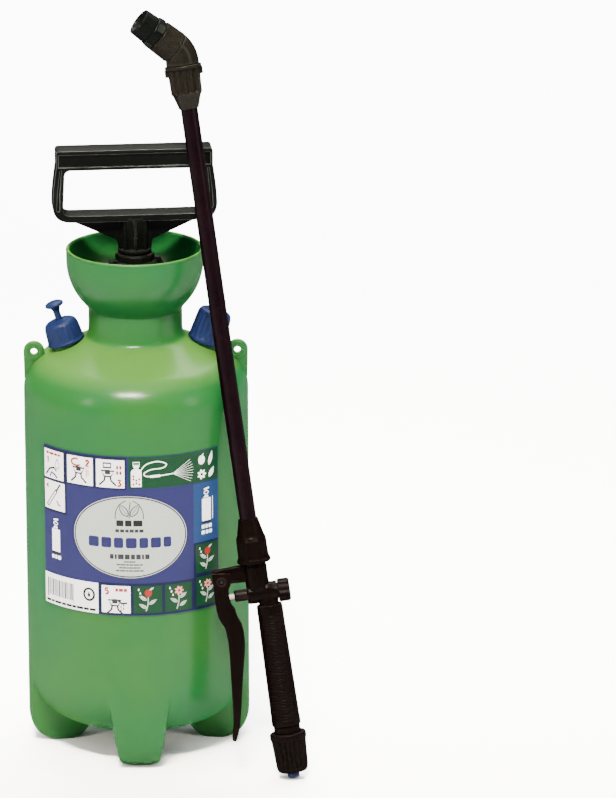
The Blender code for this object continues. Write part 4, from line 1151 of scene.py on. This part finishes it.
def build_tube():
    tube = [(4.0, 187), (9.3, 187, 0.2), (9.3, 189.4, 0.2), (6.75, 189.4), (6.75, 551.6), (9.2, 551.6, 0.2),
            (9.2, 554, 0.2), (4.0, 554)]
    piece("lance_tube", lathe(tube, 56, None, 32.0, 12.0), LANCE, "lance")
    nut = [(9.65, 178), (12.6, 178, 0.4), (13.4, 178.6, 0.3), (13.4, 180.4, 0.3), (13.3, 181.0, 0.2),
           (13.0, 196.2, 0.6),
           (11.0, 199.4, 1.4), (8.2, 211.6, 1.2), (7.9, 213.5, 0.3), (7.05, 213.5), (7.05, 189.8),
           (9.65, 189.8)]
    flats = only_outside(faceted(8, 180.9, 197.6, 0.8), 11.6)
    piece("lance_nut", lathe(nut, 128, flats, 30.0, 2.0), LANCE, "lance_nut")


def build_head():
    grooves = only_outside(ribbed(14, 1.5, 556.0, 575.4, 1.4, 0.9), 11.6)
    nut = [(7.05, 543.5), (7.7, 543.5, 0.3), (10.9, 553.8, 1.2), (12.5, 556.2, 0.6), (13.0, 574.8, 0.3),
           (14.4, 575.6, 0.3), (14.5, 577.4, 0.4), (14.0, 578, 0.3), (9.8, 578), (9.8, 551.2), (7.05, 551.2)]
    lugs = []
    for side in (-1, 1):
        line = [(side * 11.6, 569.4), (side * 15.0, 570.0), (side * 15.0, 575.4), (side * 11.6, 576.0)]
        lugs.append(("UNION", prism(line, 6.0, 0.5)))
    body = combined(lathe(nut, 160, grooves, 34.0, 1.6), lugs, 34.0)
    piece("head_nut", body, LANCE, "head_nut")

    up = Vector((0, 0, 1))
    out = Vector((-sin(BEND) * cos(HEAD_TURN), -sin(BEND) * sin(HEAD_TURN), cos(BEND)))
    vertex = Vector((0, 0, 588))
    stations = [(up * 556.3, up, 9.5), (up * 578.3, up, 9.5), (up * 578.3, up, 12.6), (up * 578.8, up, 13.0)]
    for i in range(17):
        part = i / 16
        place = vertex - up * 6.5 * (1 - part) ** 2 + out * 6.5 * part ** 2
        stations.append((place, up.slerp(out, part), 13.0 - 0.25 * sin(pi * part)))
    stations = [s for s in stations if (s[0] - vertex).dot(out) <= 5.9 or s[1].dot(out) < 0.999]
    stations += [(vertex + out * 5.9, out, 12.7), (vertex + out * 6.0, out, 9.5),
                 (vertex + out * 21, out, 9.5)]
    rings = []
    for centre, direction, radius in stations:
        turn = up.rotation_difference(direction).to_matrix()
        rings.append([tuple(centre + turn @ Vector((radius * cos(2 * pi * i / 56),
                                                    radius * sin(2 * pi * i / 56), 0)))
                      for i in range(56)])
    previous = None
    for centre, direction, _ in reversed(stations):
        if previous is not None and (centre - previous).length < 0.7:
            continue
        turn = up.rotation_difference(direction).to_matrix()
        rings.append([tuple(centre + turn @ Vector((3.0 * cos(2 * pi * i / 56), 3.0 * sin(2 * pi * i / 56),
                                                    0)))
                      for i in range(56)])
        previous = centre
    body = mesh_of(*loft(rings, closed=True), 32.0)
    piece("elbow", body, LANCE, "elbow")

    knurls = only_outside(ribbed(54, 0.45, 6.9, 22.3, 1.0, 0.6), 12.0)
    ring = [(9.9, 6.3), (12.8, 6.3, 0.3), (13.3, 7.0, 0.3), (12.9, 22.2, 0.3), (12.4, 22.8, 0.3), (9.9, 22.8)]
    piece("nozzle_ring", lathe(ring, 324, knurls, 60.0, 4.0), NOZZLE, "nozzle_ring")
    collar = [(5.4, 23.1), (11.6, 23.1, 0.3), (11.9, 23.8, 0.3), (11.9, 30.0, 0.3), (11.3, 30.8, 0.3),
              (5.4, 30.8)]
    steps = []
    for k in range(4):
        line = [(10.6, 23.4), (12.6, 23.6), (12.6, 27.2), (12.2, 29.6), (10.6, 30.2)]
        turn = Matrix.Rotation(pi / 2 * k + 0.35, 4, "Z")
        steps.append(("UNION", moved(prism(line, 7.0, 0.4), turn)))
    body = combined(lathe(collar, 72), steps, 34.0)
    piece("nozzle_collar", body, NOZZLE, "elbow")
    tip = [(1.0, 35.4), (1.0, 37.4, 0.1), (3.0, 37.8, 0.4), (6.5, 38.2, 0.6), (9.2, 41.4, 0.5),
           (9.6, 42.4, 0.2),
           (10.8, 42.4, 0.3), (11.0, 41.6, 0.3), (11.5, 31.7, 0.3), (11.3, 31.1, 0.2), (5.4, 31.1),
           (5.4, 35.4)]
    piece("nozzle_tip", lathe(tip, 64), NOZZLE, "nozzle_tip")


# ---------------------------------------------------------------- carried-over frame parts

def dress_frame():
    """Gives every CAD part that still shows its finish."""
    for name, node in frame["nodes"].items():
        if node.hide_render:
            continue
        node.data.materials.clear()
        node.data.materials.append(finish_of(name))
        node.data.shade_smooth()
        node.data.set_sharp_from_angle(angle=radians(35))


# ---------------------------------------------------------------- room, light and camera

def area_light(name, place, aim, size, power, colour):
    lamp = bpy.data.lights.new(name, "AREA")
    lamp.shape = "RECTANGLE"
    lamp.size, lamp.size_y = size
    lamp.energy = power
    lamp.color = colour
    holder = bpy.data.objects.new(name, lamp)
    bpy.context.collection.objects.link(holder)
    holder.location = place
    holder.rotation_euler = (Vector(aim) - Vector(place)).to_track_quat("-Z", "Y").to_euler()
    return holder


def build_room():
    reach = 12.0
    mesh = bpy.data.meshes.new("floor")
    mesh.from_pydata([(-reach, -reach, 0), (reach, -reach, 0), (reach, reach, 0), (-reach, reach, 0)], [],
                     [(0, 1, 2, 3)])
    material, nodes, links, shader = shader_of("pale_floor")
    soft = noise(nodes, links, 3.0, 2.0)
    links.new(blend_colours(nodes, links, soft, (0.90, 0.90, 0.90), (0.88, 0.88, 0.88)),
              shader.inputs["Base Color"])
    shader.inputs["Roughness"].default_value = 0.9
    shader.inputs["Specular IOR Level"].default_value = 0.0
    mesh.materials.append(material)
    floor = bpy.data.objects.new("floor", mesh)
    bpy.context.collection.objects.link(floor)

    world = bpy.data.worlds.new("studio")
    bpy.context.scene.world = world
    world.use_nodes = True
    nodes, links = world.node_tree.nodes, world.node_tree.links
    direction = nodes.new("ShaderNodeTexCoord")
    height = nodes.new("ShaderNodeSeparateXYZ")
    links.new(direction.outputs["Generated"], height.inputs["Vector"])
    level = nodes.new("ShaderNodeMath")
    level.operation = "MAXIMUM"
    level.inputs[1].default_value = 0.0
    links.new(height.outputs["Z"], level.inputs[0])
    steep = nodes.new("ShaderNodeMath")
    steep.operation = "POWER"
    steep.inputs[1].default_value = 2.0
    links.new(level.outputs[0], steep.inputs[0])
    strength = nodes.new("ShaderNodeMath")
    strength.operation = "MULTIPLY_ADD"
    strength.inputs[1].default_value = 6.0
    strength.inputs[2].default_value = 0.35
    links.new(steep.outputs[0], strength.inputs[0])
    links.new(strength.outputs[0], nodes["Background"].inputs["Strength"])
    nodes["Background"].inputs["Color"].default_value = (1.0, 1.0, 1.0, 1.0)
    middle = (0.0, 0.0, 0.25)
    key = area_light("key", (-0.3, -2.1, 3.2), (0.0, 0.0, 0.34), (1.4, 0.30), 36.0, (1.0, 0.94, 0.78))
    key.data.spread = radians(24)
    area_light("left", (-2.5, -1.9, 1.6), middle, (0.5, 1.0), 70.0, (1.0, 0.93, 0.74))
    area_light("right", (2.5, -1.5, 1.2), middle, (0.5, 1.2), 50.0, (1.0, 0.97, 0.82))
    sweep = area_light("sweep", (0.4, 2.4, 3.2), (0.4, 2.0, 0.0), (3.0, 3.0), 700.0, (1.0, 1.0, 1.0))
    sweep.data.spread = radians(125)


def build_camera():
    right = Vector((0.99937674, -0.03530051, 0))
    up = Vector((0.01051952, 0.29781345, 0.95456613))
    back = Vector((-0.03369667, -0.95397119, 0.29799918))
    camera = bpy.data.cameras.new("camera")
    camera.sensor_width = 36.0
    camera.lens = 229.78
    camera.clip_end = 100.0
    holder = bpy.data.objects.new("camera", camera)
    bpy.context.collection.objects.link(holder)
    turn = Matrix((right, up, back)).transposed().to_4x4()
    holder.matrix_world = Matrix.Translation((-0.0224, -3.89285, 1.50519)) @ turn
    bpy.context.scene.camera = holder


build_camera()
build_room()
build_tank()
build_label()
build_relief()
build_outlet()
build_pump()
build_grip_end()
build_valve()
build_lever()
build_tube()
build_head()
dress_frame()

bpy.context.view_layer.update()
